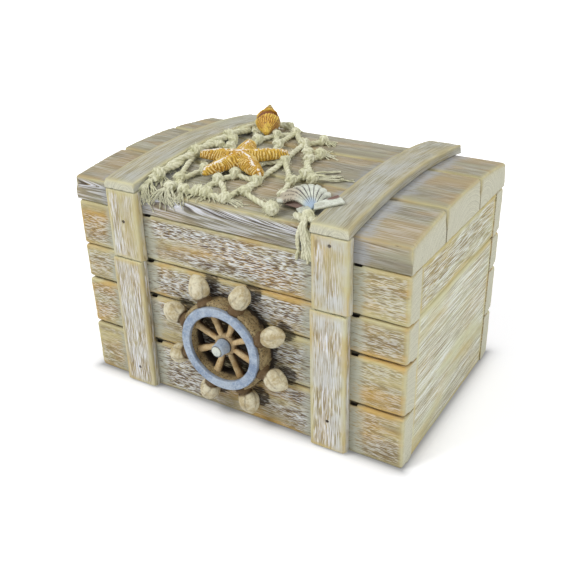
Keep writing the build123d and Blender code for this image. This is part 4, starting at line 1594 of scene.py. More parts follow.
    def build_handles(self, tree: GeometryTree, finish: Material) -> None:
        """The eight handles: a dark flared neck on the rim and a pale carved egg at its end.

        Args:
            tree: The group that sets copies round the wheel.
            finish: Their material.
        """
        profile = [(0.0, self.rim_outer - 2.2 * MM)]
        for along, radius in ((0.0, 4.6), (1.6, 4.4), (3.0, 3.5), (4.2, 2.9)):
            profile.append((radius * MM, self.rim_outer - 2.0 * MM + along * MM))
        rows = 26
        for k in range(1, rows):
            share = k / rows
            profile.append((self.knob_radius_at(share), self.knob_start + self.knob_length * share))
        profile.append((0.0, self.knob_start + self.knob_length))
        points, faces = turned(profile, self.handle_segments, False)
        along, out, side = points[:, 2], points[:, 0], points[:, 1]
        share = np.clip((along - self.knob_start) / self.knob_length, 0, 1)
        angle = np.arctan2(side, out)
        knob = ease(share, 0.02, 0.15)
        carved = np.abs(np.sin(angle * 2.5 + share * 2.5))
        facet = 1 - 0.05 * carved * knob
        placed = np.stack([along, side * facet, out * facet + self.handle_stand], axis=1)
        # The necks take a darker tone; painted shade darkens the backs towards the boards and the folds of
        # the carving.
        back = ease(-placed[:, 2], -6.2 * MM, -2.2 * MM)
        folds = carved ** 8 * knob * 0.55 * ease(-share, -0.9, -0.6)
        deep = np.clip(np.maximum((1 - knob) * 0.8, back * 0.95) + folds, 0, 1)
        model = make_object("handle_model", placed, faces, {"deep": deep})
        piece = tree.apply(model, "wheel_handles_carved", self.ring_values(self.handle_uneven, 175.0, finish))
        settle(piece, "base", ["wheel_handles"])

    def build(self) -> None:
        """Make the whole wheel."""
        finish = self.finishes()
        ring = ring_of_copies()
        self.build_rim(finish["tan"])
        self.build_ring(finish["blue"])
        self.build_spokes(ring, finish["spoke"])
        self.build_hub(finish["blue"], finish["button"])
        self.build_handles(ring, finish["pale"])


def on_net(points: Array, x: float, y: float, turn: float) -> Array:
    """Carry a piece made on the plane Z = 0 onto the netting, leaning with the lid's arch.

    Args:
        points: The piece's corners about its own middle.
        x: Where its middle goes along the front.
        y: Where its middle goes in depth.
        turn: How far it turns about its own upright, in degrees.

    Returns:
        The corners in the frame.
    """
    lean = math.asin(y / SIZES.arch_radius)
    seat = SIZES.arch_radius + SIZES.net_top
    about = Matrix.Translation((x, 0, SIZES.arch_centre)) @ Matrix.Rotation(-lean, 4, "X")
    about = about @ Matrix.Translation((0, 0, seat)) @ Matrix.Rotation(math.radians(turn), 4, "Z")
    table = np.array(about)
    return points @ table[:3, :3].T + table[:3, 3]


def drape(x: Any, y: Any, lift: Any, edge_round: float = 1.6 * MM) -> Array:
    """Points laid over the lid: on the arched top, and past its front edge down the front face.

    Args:
        x: Places along the front.
        y: Places in depth; past the front edge they count as length down the front face.
        lift: How far the points stand off the wood.
        edge_round: The radius of the lid's front edge.

    Returns:
        The points, one row each.
    """
    x, y, lift = np.broadcast_arrays(np.asarray(x, float), np.asarray(y, float), np.asarray(lift, float))
    edge = -SIZES.half_depth + edge_round
    past = np.maximum(edge - y, 0)
    bend = edge_round + lift
    angle = np.minimum(past / bend, math.pi / 2)
    down = np.maximum(past - bend * math.pi / 2, 0)
    top = SIZES.arch(np.maximum(y, edge))
    depth = np.maximum(y, edge) - bend * np.sin(angle)
    height = top - edge_round + bend * np.cos(angle) - down
    return np.stack([x, depth, height], axis=-1)


@dataclass
class Netting:
    """The knotted cotton net on the lid: laid cord, knots, a doubled head cord, tufts and a tassel."""

    cord_radius: float = 1.52 * MM
    knot_radius: float = 1.4 * MM
    head_radius: float = 1.8 * MM
    lift: float = 1.85 * MM
    step: float = 0.85 * MM
    sway: float = 1.3 * MM
    cord_turns: float = 92.0
    knot_turns: float = 130.0
    yarn_turns: float = 200.0
    ply_depth: float = 0.19
    cord_wobble: float = 1.2 * MM
    knot_wobble: float = 0.3 * MM
    yarn_wobble: float = 1.3 * MM
    tassel_wobble: float = 1.9 * MM
    yarn_radius: float = 0.32 * MM
    tassel_yarn_radius: float = 0.8 * MM
    tassel_ply_depth: float = 0.12
    yarn_step: float = 1.05 * MM
    cord_sides: int = 12
    yarn_sides: int = 5
    cord_fibres: float = 290000.0
    knot_fibres: float = 180000.0
    fibre_length: float = 2.1 * MM
    head_winding: float = 34 * MM
    seed: int = 11
    knots: Dict[str, Pair] = field(default_factory=lambda: {
        "head_end": (0.030, 0.045), "head_front": (0.030, 0.095), "head_low": (0.030, 0.350),
        "head_high": (0.030, 0.600), "head_rear": (0.030, 0.860), "corner_left": (0.092, 0.945),
        "corner_right": (0.204, 0.945), "front_a": (0.146, 0.110), "front_b": (0.159, 0.034),
        "front_c": (0.240, 0.034), "front_d": (0.318, 0.048), "front_e": (0.371, 0.045),
        "front_f": (0.490, 0.034), "front_g": (0.765, 0.022), "low_a": (0.202, 0.224),
        "low_b": (0.342, 0.159), "low_c": (0.384, 0.234), "low_d": (0.533, 0.208),
        "low_e": (0.540, 0.108), "star_a": (0.255, 0.405), "star_b": (0.415, 0.385),
        "inner_a": (0.066, 0.478), "inner_b": (0.075, 0.578), "inner_c": (0.090, 0.760),
        "mid_a": (0.140, 0.488), "mid_b": (0.194, 0.643), "mid_c": (0.340, 0.624),
        "mid_d": (0.519, 0.437), "edge_a": (0.452, 0.694), "edge_b": (0.562, 0.574),
        "edge_c": (0.711, 0.342), "edge_d": (0.686, 0.260), "edge_e": (0.620, 0.497),
        "edge_f": (0.774, 0.305), "edge_g": (0.737, 0.136), "rear_a": (0.218, 0.760),
        "rear_b": (0.282, 0.856), "tail_a": (0.512, 0.789), "tail_b": (0.632, 0.584),
    })
    cords: Tuple[Tuple[str, ...], ...] = (
        ("head_low", "front_a", "low_a", "star_a", "mid_b", "rear_a", "rear_b"),
        ("front_b", "front_a", "front_c", "front_d", "low_b", "low_c", "star_b", "mid_c", "rear_a"),
        ("front_d", "front_e", "front_f", "low_b"),
        ("front_f", "low_d", "mid_d", "edge_a", "rear_b", "corner_right"),
        ("low_c", "low_d", "low_e", "front_g"),
        ("mid_d", "edge_d", "edge_g"),
        ("edge_d", "edge_c", "edge_b", "edge_a", "tail_a"),
        ("edge_b", "edge_e", "edge_f"),
        ("edge_e", "tail_b"),
        ("star_b", "mid_d"),
        ("mid_c", "rear_b"),
        ("star_a", "mid_a", "inner_a"),
        ("inner_b", "mid_a", "star_a", "low_c"),
        ("inner_c", "mid_b"),
    )
    head_cord: Tuple[str, ...] = (
        "head_end", "head_front", "head_low", "head_high", "head_rear", "corner_left", "corner_right",
    )

    def place(self, name: str) -> Array:
        """A knot's place on the lid, from its shares.

        Args:
            name: The knot's name.

        Returns:
            Its place along the front and in depth.
        """
        across, along = self.knots[name]
        left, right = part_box("lid_top_strap_left")[1].x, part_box("lid_top_strap_right")[0].x
        depth = 2 * SIZES.half_depth
        return np.array([left + across * (right - left), -SIZES.half_depth + along * depth])

    def chain_line(self, chain: Sequence[str], seed: int) -> Array:
        """A chain's line over the lid, swaying a little between its knots.

        Args:
            chain: The names of its knots.
            seed: Which sway to use.

        Returns:
            The line's points.
        """
        random = np.random.default_rng(seed)
        rows = []
        for first, second in zip(chain, chain[1:]):
            start, end = self.place(first), self.place(second)
            run = end - start
            length = float(np.linalg.norm(run))
            side = np.array([-run[1], run[0]]) / length
            bow = random.uniform(-1, 1) * min(self.sway, length * 0.06)
            wave = random.uniform(-0.4, 0.4) * min(self.sway, length * 0.04)
            count = max(3, round(length / (2 * self.step)))
            for k in range(count):
                share = k / count
                off = bow * math.sin(math.pi * share) + wave * math.sin(2 * math.pi * share)
                at = start + run * share + side * off
                dip = 0.35 * MM * math.sin(math.pi * share)
                rows.append((at[0], at[1], self.lift - dip))
        last = self.place(chain[-1])
        rows.append((last[0], last[1], self.lift))
        table = np.array(rows)
        return drape(table[:, 0], table[:, 1], table[:, 2])

    def head_lines(self) -> List[Array]:
        """The two strands of the head cord, winding loosely about each other.

        Returns:
            The strands' lines.
        """
        route = np.array([self.place(name) for name in self.head_cord])
        reach = np.concatenate([[0], np.cumsum(np.linalg.norm(np.diff(route, axis=0), axis=1))])
        at = np.arange(0, reach[-1], 1.2 * MM)
        x, y = np.interp(at, reach, route[:, 0]), np.interp(at, reach, route[:, 1])
        smooth = np.ones(7) / 7
        x, y = (np.convolve(np.pad(values, 3, "edge"), smooth, "valid") for values in (x, y))
        run = np.stack([np.gradient(x), np.gradient(y)], axis=1)
        side = np.stack([-run[:, 1], run[:, 0]], axis=1) / np.linalg.norm(run, axis=1)[:, None]
        lines = []
        for phase in (0.0, math.pi):
            turn = at / self.head_winding * TURN + phase
            off = np.cos(turn) * 1.35 * MM
            lift = self.head_radius + 0.45 * MM + (1 + np.sin(turn)) * 0.95 * MM
            lines.append(drape(x + side[:, 0] * off, y + side[:, 1] * off, lift))
        return lines

    def coil(self, centre: Array, axis: Array, radius: float, pitch: float, turns: float) -> Array:
        """A short helix about an axis.

        Args:
            centre: Its middle.
            axis: Its direction.
            radius: The radius of its centre line.
            pitch: How far it moves along in one turn.
            turns: How many turns it has.

        Returns:
            Its points.
        """
        axis = axis / np.linalg.norm(axis)
        across = np.cross(axis, (0.0, 0.0, 1.0))
        across = across / max(float(np.linalg.norm(across)), 1e-9)
        up = np.cross(across, axis)
        angle = np.linspace(0, turns * TURN, max(8, int(turns * 12)))
        along = (angle / TURN - turns / 2) * pitch
        ring = np.cos(angle)[:, None] * across + np.sin(angle)[:, None] * up
        return centre + ring * radius + along[:, None] * axis

    def knot_lines(self) -> List[Array]:
        """Each knot's two short coils, turned to the cords that meet there.

        Returns:
            The coils' lines.
        """
        random = np.random.default_rng(self.seed)
        lines = []
        runs: Dict[str, List[Array]] = {name: [] for name in self.knots}
        for chain in self.cords:
            for first, second in zip(chain, chain[1:]):
                run = self.place(second) - self.place(first)
                runs[first].append(run / np.linalg.norm(run))
                runs[second].append(-run / np.linalg.norm(run))
        for name, directions in runs.items():
            if not directions or name in self.head_cord:
                continue
            at = self.place(name)
            if name == "front_g":
                lines += self.ball_lines(at + np.array([0.0, -1.0 * MM]), 2.5 * MM, 9)
                continue
            centre = drape(at[0], at[1], self.lift + 0.25 * MM)
            first = np.append(directions[0], 0.0)
            turn = random.uniform(0.9, 1.5)
            second = np.array(Matrix.Rotation(turn, 3, "Z") @ Vector(first))
            lines.append(self.coil(centre + first * 0.7 * MM, first, 1.75 * MM, 2.3 * MM, 1.8))
            above = centre - second * 0.3 * MM + np.array([0, 0, 0.5 * MM])
            lines.append(self.coil(above, second, 1.7 * MM, 2.2 * MM, 1.5))
        for name in self.head_cord[1:5]:
            at = self.place(name)
            centre = drape(at[0], at[1], self.head_radius + 1.4 * MM)
            lines.append(self.coil(centre, np.array([0.15, 1.0, 0.0]), 2.9 * MM, 2.4 * MM, 1.6))
        return lines

    def ball_lines(self, at: Array, radius: float, loops: int) -> List[Array]:
        """A ball wound of cord.

        Args:
            at: Its place on the lid.
            radius: The radius of the cord's centre line round the ball.
            loops: How many loops it has.

        Returns:
            The loops' lines.
        """
        random = np.random.default_rng(self.seed + 5)
        centre = drape(at[0], at[1], radius + self.knot_radius)
        lines = []
        for index in range(loops):
            axis = np.array([math.cos(index * 2.4), math.sin(index * 2.4), random.uniform(-0.5, 0.9)])
            offset = random.uniform(-0.35, 0.35) * radius
            unit = axis / np.linalg.norm(axis)
            ring_radius = math.sqrt(radius ** 2 - offset ** 2)
            lines.append(self.coil(centre + unit * offset, axis, ring_radius, 0.3 * MM, 1.05))
        return lines

    def strands(
        self, start: Sequence[float], end: Sequence[float], count: int, spread: float, lift: float, seed: int
    ) -> List[Array]:
        """A frayed end: loose yarns that fan out over the lid, and down its front past the edge.

        Args:
            start: Where the yarns leave the cord.
            end: Where their middle ends.
            count: How many yarns there are.
            spread: How far apart they end.
            lift: How high they start above the wood.
            seed: Which fall to use.

        Returns:
            The yarns' lines.
        """
        random = np.random.default_rng(seed)
        start, end = np.array(start), np.array(end)
        run = end - start
        length = float(np.linalg.norm(run))
        side = np.array([-run[1], run[0]]) / length
        lines = []
        for _ in range(count):
            reach = random.uniform(0.55, 1.1)
            sideways = random.normal(0, 0.62) * spread
            curl = random.uniform(-0.45, 0.45) * spread
            phase = random.uniform(0, TURN)
            share = np.linspace(0, 1, 12)
            off = sideways * share ** 1.3 + curl * np.sin(math.pi * share * 1.5 + phase) * share
            at = start[None, :] + run[None, :] * (share * reach)[:, None] + side[None, :] * off[:, None]
            off_wood = 0.25 * MM + (lift + random.uniform(0, 0.8) * MM) * (1 - share) ** 1.4
            off_wood = off_wood + random.uniform(0, 0.7) * MM * np.sin(math.pi * share)
            shift = [random.normal(0, 0.35) * MM for _ in range(2)]
            lines.append(drape(at[:, 0] + shift[0], at[:, 1] + shift[1], off_wood))
        return lines

    def frayed_lines(self) -> List[Array]:
        """Every frayed end of the net.

        Returns:
            The loose yarns' lines.
        """
        lines: List[Array] = []
        ends = (
            ("head_end", (-7, -9), 26, 9, 2.4), ("head_end", (2, -12), 22, 8, 2.6),
            ("head_end", (-2, -6), 14, 9, 3.0), ("head_front", (7, -5), 10, 6, 2.4),
            ("front_b", (-2, -12), 22, 7, 2.0), ("front_b", (4, -9), 16, 7, 2.0),
            ("front_b", (-5, -5), 10, 5, 2.0), ("front_c", (1, -9), 8, 5, 1.6),
            ("front_e", (2, -6), 6, 4, 1.4), ("front_e", (8, -3), 5, 3, 1.4), ("front_f", (13, 1), 7, 4, 1.4),
            ("front_d", (-3, -5), 6, 4, 1.4), ("tail_a", (7, 2), 18, 6, 1.6), ("tail_a", (4, 6), 10, 5, 1.6),
            ("tail_b", (6, 5), 20, 7, 1.6), ("tail_b", (3, 7), 10, 5, 1.6),
            ("corner_right", (5, 3), 14, 6, 2.2), ("corner_left", (-2, 4), 10, 5, 2.4),
            ("edge_c", (13, 14), 6, 5, 1.8), ("edge_c", (17, 10), 5, 4, 1.8), ("edge_f", (16, 12), 7, 6, 1.8),
        )
        for index, (name, reach, count, spread, lift) in enumerate(ends):
            start = self.place(name)
            end = start + np.array(reach) * MM
            lines += self.strands(start, end, count, spread * MM, lift * MM, self.seed + 40 + index)
        return lines

    def tassel_lines(self) -> Tuple[List[Array], List[Array]]:
        """The tassel by the right strap.

        Returns:
            Its knot's lines and its hanging yarns' lines.
        """
        low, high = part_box("net_tassel")
        middle = (low.x + high.x) / 2
        edge = -SIZES.half_depth
        knot = self.ball_lines(np.array([middle - 1.2 * MM, edge + 2.6 * MM]), 2.0 * MM, 6)
        for side, rise in ((-5.6, 2.4), (-3.0, 1.8), (1.6, 2.2), (3.4, 1.8)):
            centre = drape(middle + side * MM, edge + 2.2 * MM, rise * MM)
            knot.append(self.coil(centre, np.array([0.3, 0.5, 0.9]), 1.9 * MM, 0.9 * MM, 1.2))
        start = (middle - 1.4 * MM, edge + 1.0 * MM)
        end = (middle - 0.4 * MM, edge - (high.z - low.z))
        yarns = self.strands(start, end, 28, 6.6 * MM, 2.9 * MM, self.seed + 90)
        return knot, yarns

    def draw(self, name: str, lines: Sequence[Array], taper: bool = False) -> Piece:
        """Draw lines as one curve object.

        Args:
            name: The object's name.
            lines: The lines' points.
            taper: Whether each line thins to its end.

        Returns:
            The curve object.
        """
        data = bpy.data.curves.new(name, "CURVE")
        data.dimensions = "3D"
        for line in lines:
            spline = data.splines.new("POLY")
            spline.points.add(len(line) - 1)
            rows = np.concatenate([line, np.ones((len(line), 1))], axis=1)
            spline.points.foreach_set("co", rows.astype(np.float32).ravel())
            share = np.linspace(0, 1, len(line))
            thin = 1 - 0.75 * share ** 2 if taper else np.ones(len(line))
            spline.points.foreach_set("radius", thin.astype(np.float32))
        made = bpy.data.objects.new(name, data)
        bpy.context.scene.collection.objects.link(made)
        return made

    def join(self, name: str, pieces: Sequence[Piece]) -> Piece:
        """Join plain mesh pieces into the first and name it.

        Args:
            name: The joined piece's name.
            pieces: The pieces.

        Returns:
            The joined piece.
        """
        bpy.ops.object.select_all(action="DESELECT")
        for piece in pieces:
            piece.select_set(True)
        bpy.context.view_layer.objects.active = pieces[0]
        bpy.ops.object.join()
        pieces[0].name = name
        pieces[0].data.name = name
        return pieces[0]

    def build(self) -> None:
        """Make the net and its tassel."""
        cotton = CottonFinish("unbleached_cotton").build()
        tree = twisted_cord()
        laid = {
            "Radius": self.cord_radius, "Turns Per Metre": self.cord_turns, "Ply Depth": self.ply_depth,
            "Wobble": self.cord_wobble, "Step": self.step, "Sides": self.cord_sides,
            "Fibre Density": self.cord_fibres, "Fibre Length": self.fibre_length, "Seed": self.seed,
            "Material": cotton,
        }
        headed = {**laid, "Radius": self.head_radius}
        tied = {
            **laid, "Radius": self.knot_radius, "Wobble": self.knot_wobble,
            "Turns Per Metre": self.knot_turns, "Fibre Density": self.knot_fibres,
        }
        yarn = {
            **laid, "Radius": self.yarn_radius, "Ply Depth": 0.0, "Wobble": self.yarn_wobble,
            "Sides": self.yarn_sides, "Step": self.yarn_step, "Fibre Density": 0.0,
            "Turns Per Metre": self.yarn_turns,
        }
        hung = {
            **yarn, "Radius": self.tassel_yarn_radius, "Wobble": self.tassel_wobble,
            "Ply Depth": self.tassel_ply_depth,
        }

        def spin(name: str, lines: Sequence[Array], values: Dict[str, Any], taper: bool = False) -> Piece:
            """Spin lines into cord."""
            return tree.apply(self.draw(name, lines, taper), name, values)

        chains = [self.chain_line(chain, self.seed + index) for index, chain in enumerate(self.cords)]
        parts = [spin("net_cords", chains, laid), spin("net_head", self.head_lines(), headed)]
        parts += [
            spin("net_knots", self.knot_lines(), tied), spin("net_frays", self.frayed_lines(), yarn, True),
        ]
        settle(self.join("net_knotted", parts), "lid", ["net"])
        knot, hanging = self.tassel_lines()
        parts = [spin("tassel_knot", knot, tied), spin("tassel_yarn", hanging, hung, True)]
        settle(self.join("net_tassel_frayed", parts), "lid", ["net_tassel"])


@dataclass(frozen=True)
class StarFinish:
    """Dried starfish: ochre ribs with a painted highlight on their crests and painted shade in their troughs
    and on the low flanks, white grains along the ridges.
    """

    name: str = "dried_starfish"
    ochre: Colour = tint(206, 168, 64)
    orange: Colour = tint(190, 144, 48)
    # The colour of painted shade in rib troughs and on the low flanks.
    brown: Colour = tint(112, 76, 28)
    # The colour of the painted highlight on rib crests, and of pale dots.
    pale: Colour = tint(242, 224, 160)
    white: Colour = tint(244, 238, 226)

    def build(self) -> Material:
        """Make the material from the starfish's "rib", "ridge" and "low" attributes.

        Returns:
            The finished material.
        """
        shader = Shader(self.name)
        place = shader.place()
        rib, ridge, low = shader.attribute("rib"), shader.attribute("ridge"), shader.attribute("low")
        broad = shader.noise(place * 110.0, 2.0)
        grit = shader.noise(place * 1500.0, 3.0, 0.7)
        dots = shader.cells(place * 780.0)
        colour = shader.mix(shader.step(broad, 0.38, 0.62), self.ochre, self.orange)
        # Painted shade in the troughs between ribs.
        colour = shader.mix(shader.step(rib + (grit - 0.5) * 0.9, 0.42, 0.08) * 0.7, colour, self.brown)
        # Painted highlight on the rib crests.
        colour = shader.mix(shader.step(rib + (grit - 0.5) * 1.2, 0.60, 0.95) * 0.8, colour, self.pale)
        # Painted shade on the low flanks of the arms.
        colour = shader.mix(shader.step(low + (grit - 0.5) * 0.6, 0.1, 0.9) * 0.75, colour, self.brown)
        grains = shader.step(dots, 0.50, 0.30)
        colour = shader.mix(grains * shader.step(ridge + (grit - 0.5) * 0.4, 0.02, 0.22), colour, self.white)
        colour = shader.mix(
            shader.step(dots, 0.34, 0.20) * shader.step(broad, 0.42, 0.56) * 0.7, colour, self.pale,
        )
        colour = shader.mix(shader.step(ridge + (grit - 0.5) * 0.5, 0.50, 0.72) * 0.92, colour, self.white)
        height = grains * 0.5 + grit * 0.5
        return shader.close({
            "Base Color": colour,
            "Roughness": 0.62 + grit * 0.2,
            "Specular IOR Level": 0.35,
            "Normal": shader.bump(height, 0.6, 0.4 * MM),
        })


@dataclass
class Starfish:
    """The starfish: five ribbed arms with a grained ridge along each."""

    left_of_knot: float = 8.0 * MM
    before_knot: float = 5.8 * MM
    angles: Tuple[float, ...] = (44.0, 113.0, 186.0, 253.0, 324.0)
    arm: float = 26.0 * MM
    rib_pitch: float = 1.6 * MM
    rib_height: float = 0.6 * MM
    ridge_height: float = 0.5 * MM
    grain_height: float = 0.45 * MM
    voxel: float = 0.42 * MM

    def half_width(self, share: Any) -> Any:
        """Half the arm's width at a share of its length."""
        shares = (-0.2, 0.0, 0.3, 0.55, 0.85, 0.97, 1.0)
        return np.interp(share, shares, (6.4, 6.2, 5.6, 5.2, 3.7, 2.4, 0.8)) * MM

    def height(self, share: Any) -> Any:
        """The arm's height at a share of its length."""
        shares = (-0.2, 0.0, 0.15, 0.3, 0.55, 0.85, 0.97, 1.0)
        return np.interp(share, shares, (6.8, 6.8, 6.5, 6.1, 5.6, 4.4, 3.0, 1.4)) * MM

    def rough_body(self) -> Piece:
        """Five closed arms through one another, joined by a remesh into one skin.

        Returns:
            The body about its own middle.
        """
        points: List[Triple] = []
        faces: Faces = []
        rows, around = 26, 20
        for angle in self.angles:
            turn = math.radians(angle)
            base = len(points)
            for row in range(rows):
                share = -0.16 + 1.16 * row / (rows - 1)
                half, high = float(self.half_width(share)), float(self.height(share))
                for k in range(around):
                    phase = TURN * k / around
                    side = half * math.cos(phase)
                    up = high * (0.2 + (0.8 if math.sin(phase) > 0 else 0.2) * math.sin(phase))
                    along = self.arm * share
                    x = along * math.cos(turn) - side * math.sin(turn)
                    points.append((x, along * math.sin(turn) + side * math.cos(turn), up))
            faces += tube_faces(rows, around, base)
        body = make_object("star_body", np.array(points), faces)
        remesh = body.modifiers.new("remesh", "REMESH")
        remesh.mode = "VOXEL"
        remesh.voxel_size = self.voxel
        smooth = body.modifiers.new("smooth", "SMOOTH")
        smooth.factor, smooth.iterations = 0.6, 5
        depsgraph = bpy.context.evaluated_depsgraph_get()
        mesh = bpy.data.meshes.new_from_object(body.evaluated_get(depsgraph), depsgraph=depsgraph)
        body.modifiers.clear()
        body.data = mesh
        return body

    def build(self) -> None:
        """Make the starfish."""
        body = self.rough_body()
        count = len(body.data.vertices)
        read = {}
        for key in ("co", "normal"):
            values = np.empty(count * 3, dtype=np.float32)
            body.data.vertices.foreach_get(key, values)
            read[key] = values.reshape(-1, 3).astype(float)
        points, normals = read["co"], read["normal"]
        turns = np.radians(self.angles)
        along = points[:, :1] * np.cos(turns) + points[:, 1:2] * np.sin(turns)
        across = points[:, 1:2] * np.cos(turns) - points[:, :1] * np.sin(turns)
        nearest = np.argmax(along - np.abs(across) * 0.2, axis=1)
        index = np.arange(count)
        u, v = along[index, nearest], across[index, nearest]
        high = self.height(u / self.arm)
        up_share = np.clip(points[:, 2] / high, 0, 1)
        wander = layered_noise(points * 260, 31, 2)
        away = np.abs(v + 0.8 * MM * np.sin(u / (3.1 * MM) + nearest * 2.0) * (wander + 0.3))
        ridge = np.exp(-(away / (0.85 * MM)) ** 2) * ease(up_share, 0.5, 0.9) * ease(u, -1 * MM, 1 * MM)
        ridge = ridge * (0.30 + 0.70 * ease(layered_noise(points * 520, 33, 2), 0.40, 0.54))
        flank = ease(np.abs(v) / self.half_width(u / self.arm), 0.1, 0.45) * ease(up_share, 0.08, 0.3)
        rib = 0.5 + 0.5 * np.sin(u / self.rib_pitch * TURN + wander * 11 + np.abs(v) * 500)
        rib = rib * (0.55 + 0.45 * ease(layered_noise(points * 330, 37, 2), 0.40, 0.58))
        grain = layered_noise(points * 900, 35, 2) - 0.5
        push = flank * (rib - 0.4) * self.rib_height + ridge * self.ridge_height + grain * self.grain_height
        moved = points + normals * push[:, None]
        x, y = NET.place("star_b")
        placed = on_net(moved, x - self.left_of_knot, y - self.before_knot, 0.0)
        body.data.vertices.foreach_set("co", placed.astype(np.float32).ravel())
        shown_rib = np.where(flank > 0.05, rib * flank + 0.5 * (1 - flank), 0.5)
        # The low share is for painted shade on the arms' lower flanks.
        store(body.data, {"rib": shown_rib, "ridge": ridge, "low": 1 - ease(up_share, 0.0, 0.35)})
        body.name = "starfish_dried"
        settle(body, "lid", ["starfish"], StarFinish().build())


@dataclass(frozen=True)
class WhelkFinish:
    """An orange whelk: yellow-ochre turns with brown streaks and a grey-green spire, painted shade in its rib
    troughs, seams and mouth and down one side, and a painted highlight on the rib crests.
    """

    name: str = "orange_whelk"
    yellow: Colour = tint(228, 194, 74)
    orange: Colour = tint(204, 150, 44)
    # Brown streaks, and painted shade in rib troughs and on the shaded side.
    brown: Colour = tint(118, 68, 20)
    # The colour of painted shade in the mouth and seams.
    mouth: Colour = tint(124, 72, 20)
    pale: Colour = tint(186, 182, 124)
    # The colour of the painted highlight on rib crests.
    crest: Colour = tint(246, 216, 108)

    def build(self) -> Material:
        """Make the material from the whelk's attributes for its ribs, painted shade, spire and shaded side.

        Returns:
            The finished material.
        """
        shader = Shader(self.name)
        place = shader.place()
        rib, deep, spire = shader.attribute("rib"), shader.attribute("deep"), shader.attribute("spire")
        broad = shader.noise(place * 170.0, 2.0)
        grit = shader.noise(place * 1300.0, 3.0, 0.7)
        colour = shader.mix(shader.step(broad, 0.36, 0.62), self.yellow, self.orange)
        # Painted shade in the troughs between ribs.
        colour = shader.mix(shader.step(rib + (grit - 0.5) * 0.7, 0.42, 0.08) * 0.8, colour, self.brown)
        # Painted highlight on the rib crests.
        colour = shader.mix(shader.step(rib + (grit - 0.5) * 0.7, 0.62, 0.95) * 0.6, colour, self.crest)
        colour = shader.mix(spire * 0.75, colour, self.pale)
        colour = shader.mix(shader.attribute("shady") * 0.7, colour, self.brown)
        streaks = shader.noise(place * 900.0 + (4.0, 1.0, 2.0), 2.0)
        colour = shader.mix(shader.step(streaks, 0.56, 0.68) * 0.55, colour, self.brown)
        # Painted shade in the mouth and along the seams between turns.
        colour = shader.mix(shader.step(deep + (grit - 0.5) * 0.2, 0.3, 0.75), colour, self.mouth)
        return shader.close({
            "Base Color": colour,
            "Roughness": 0.4 + grit * 0.25,
            "Specular IOR Level": 0.45,
            "Normal": shader.bump(grit, 0.35, 0.25 * MM),
        })


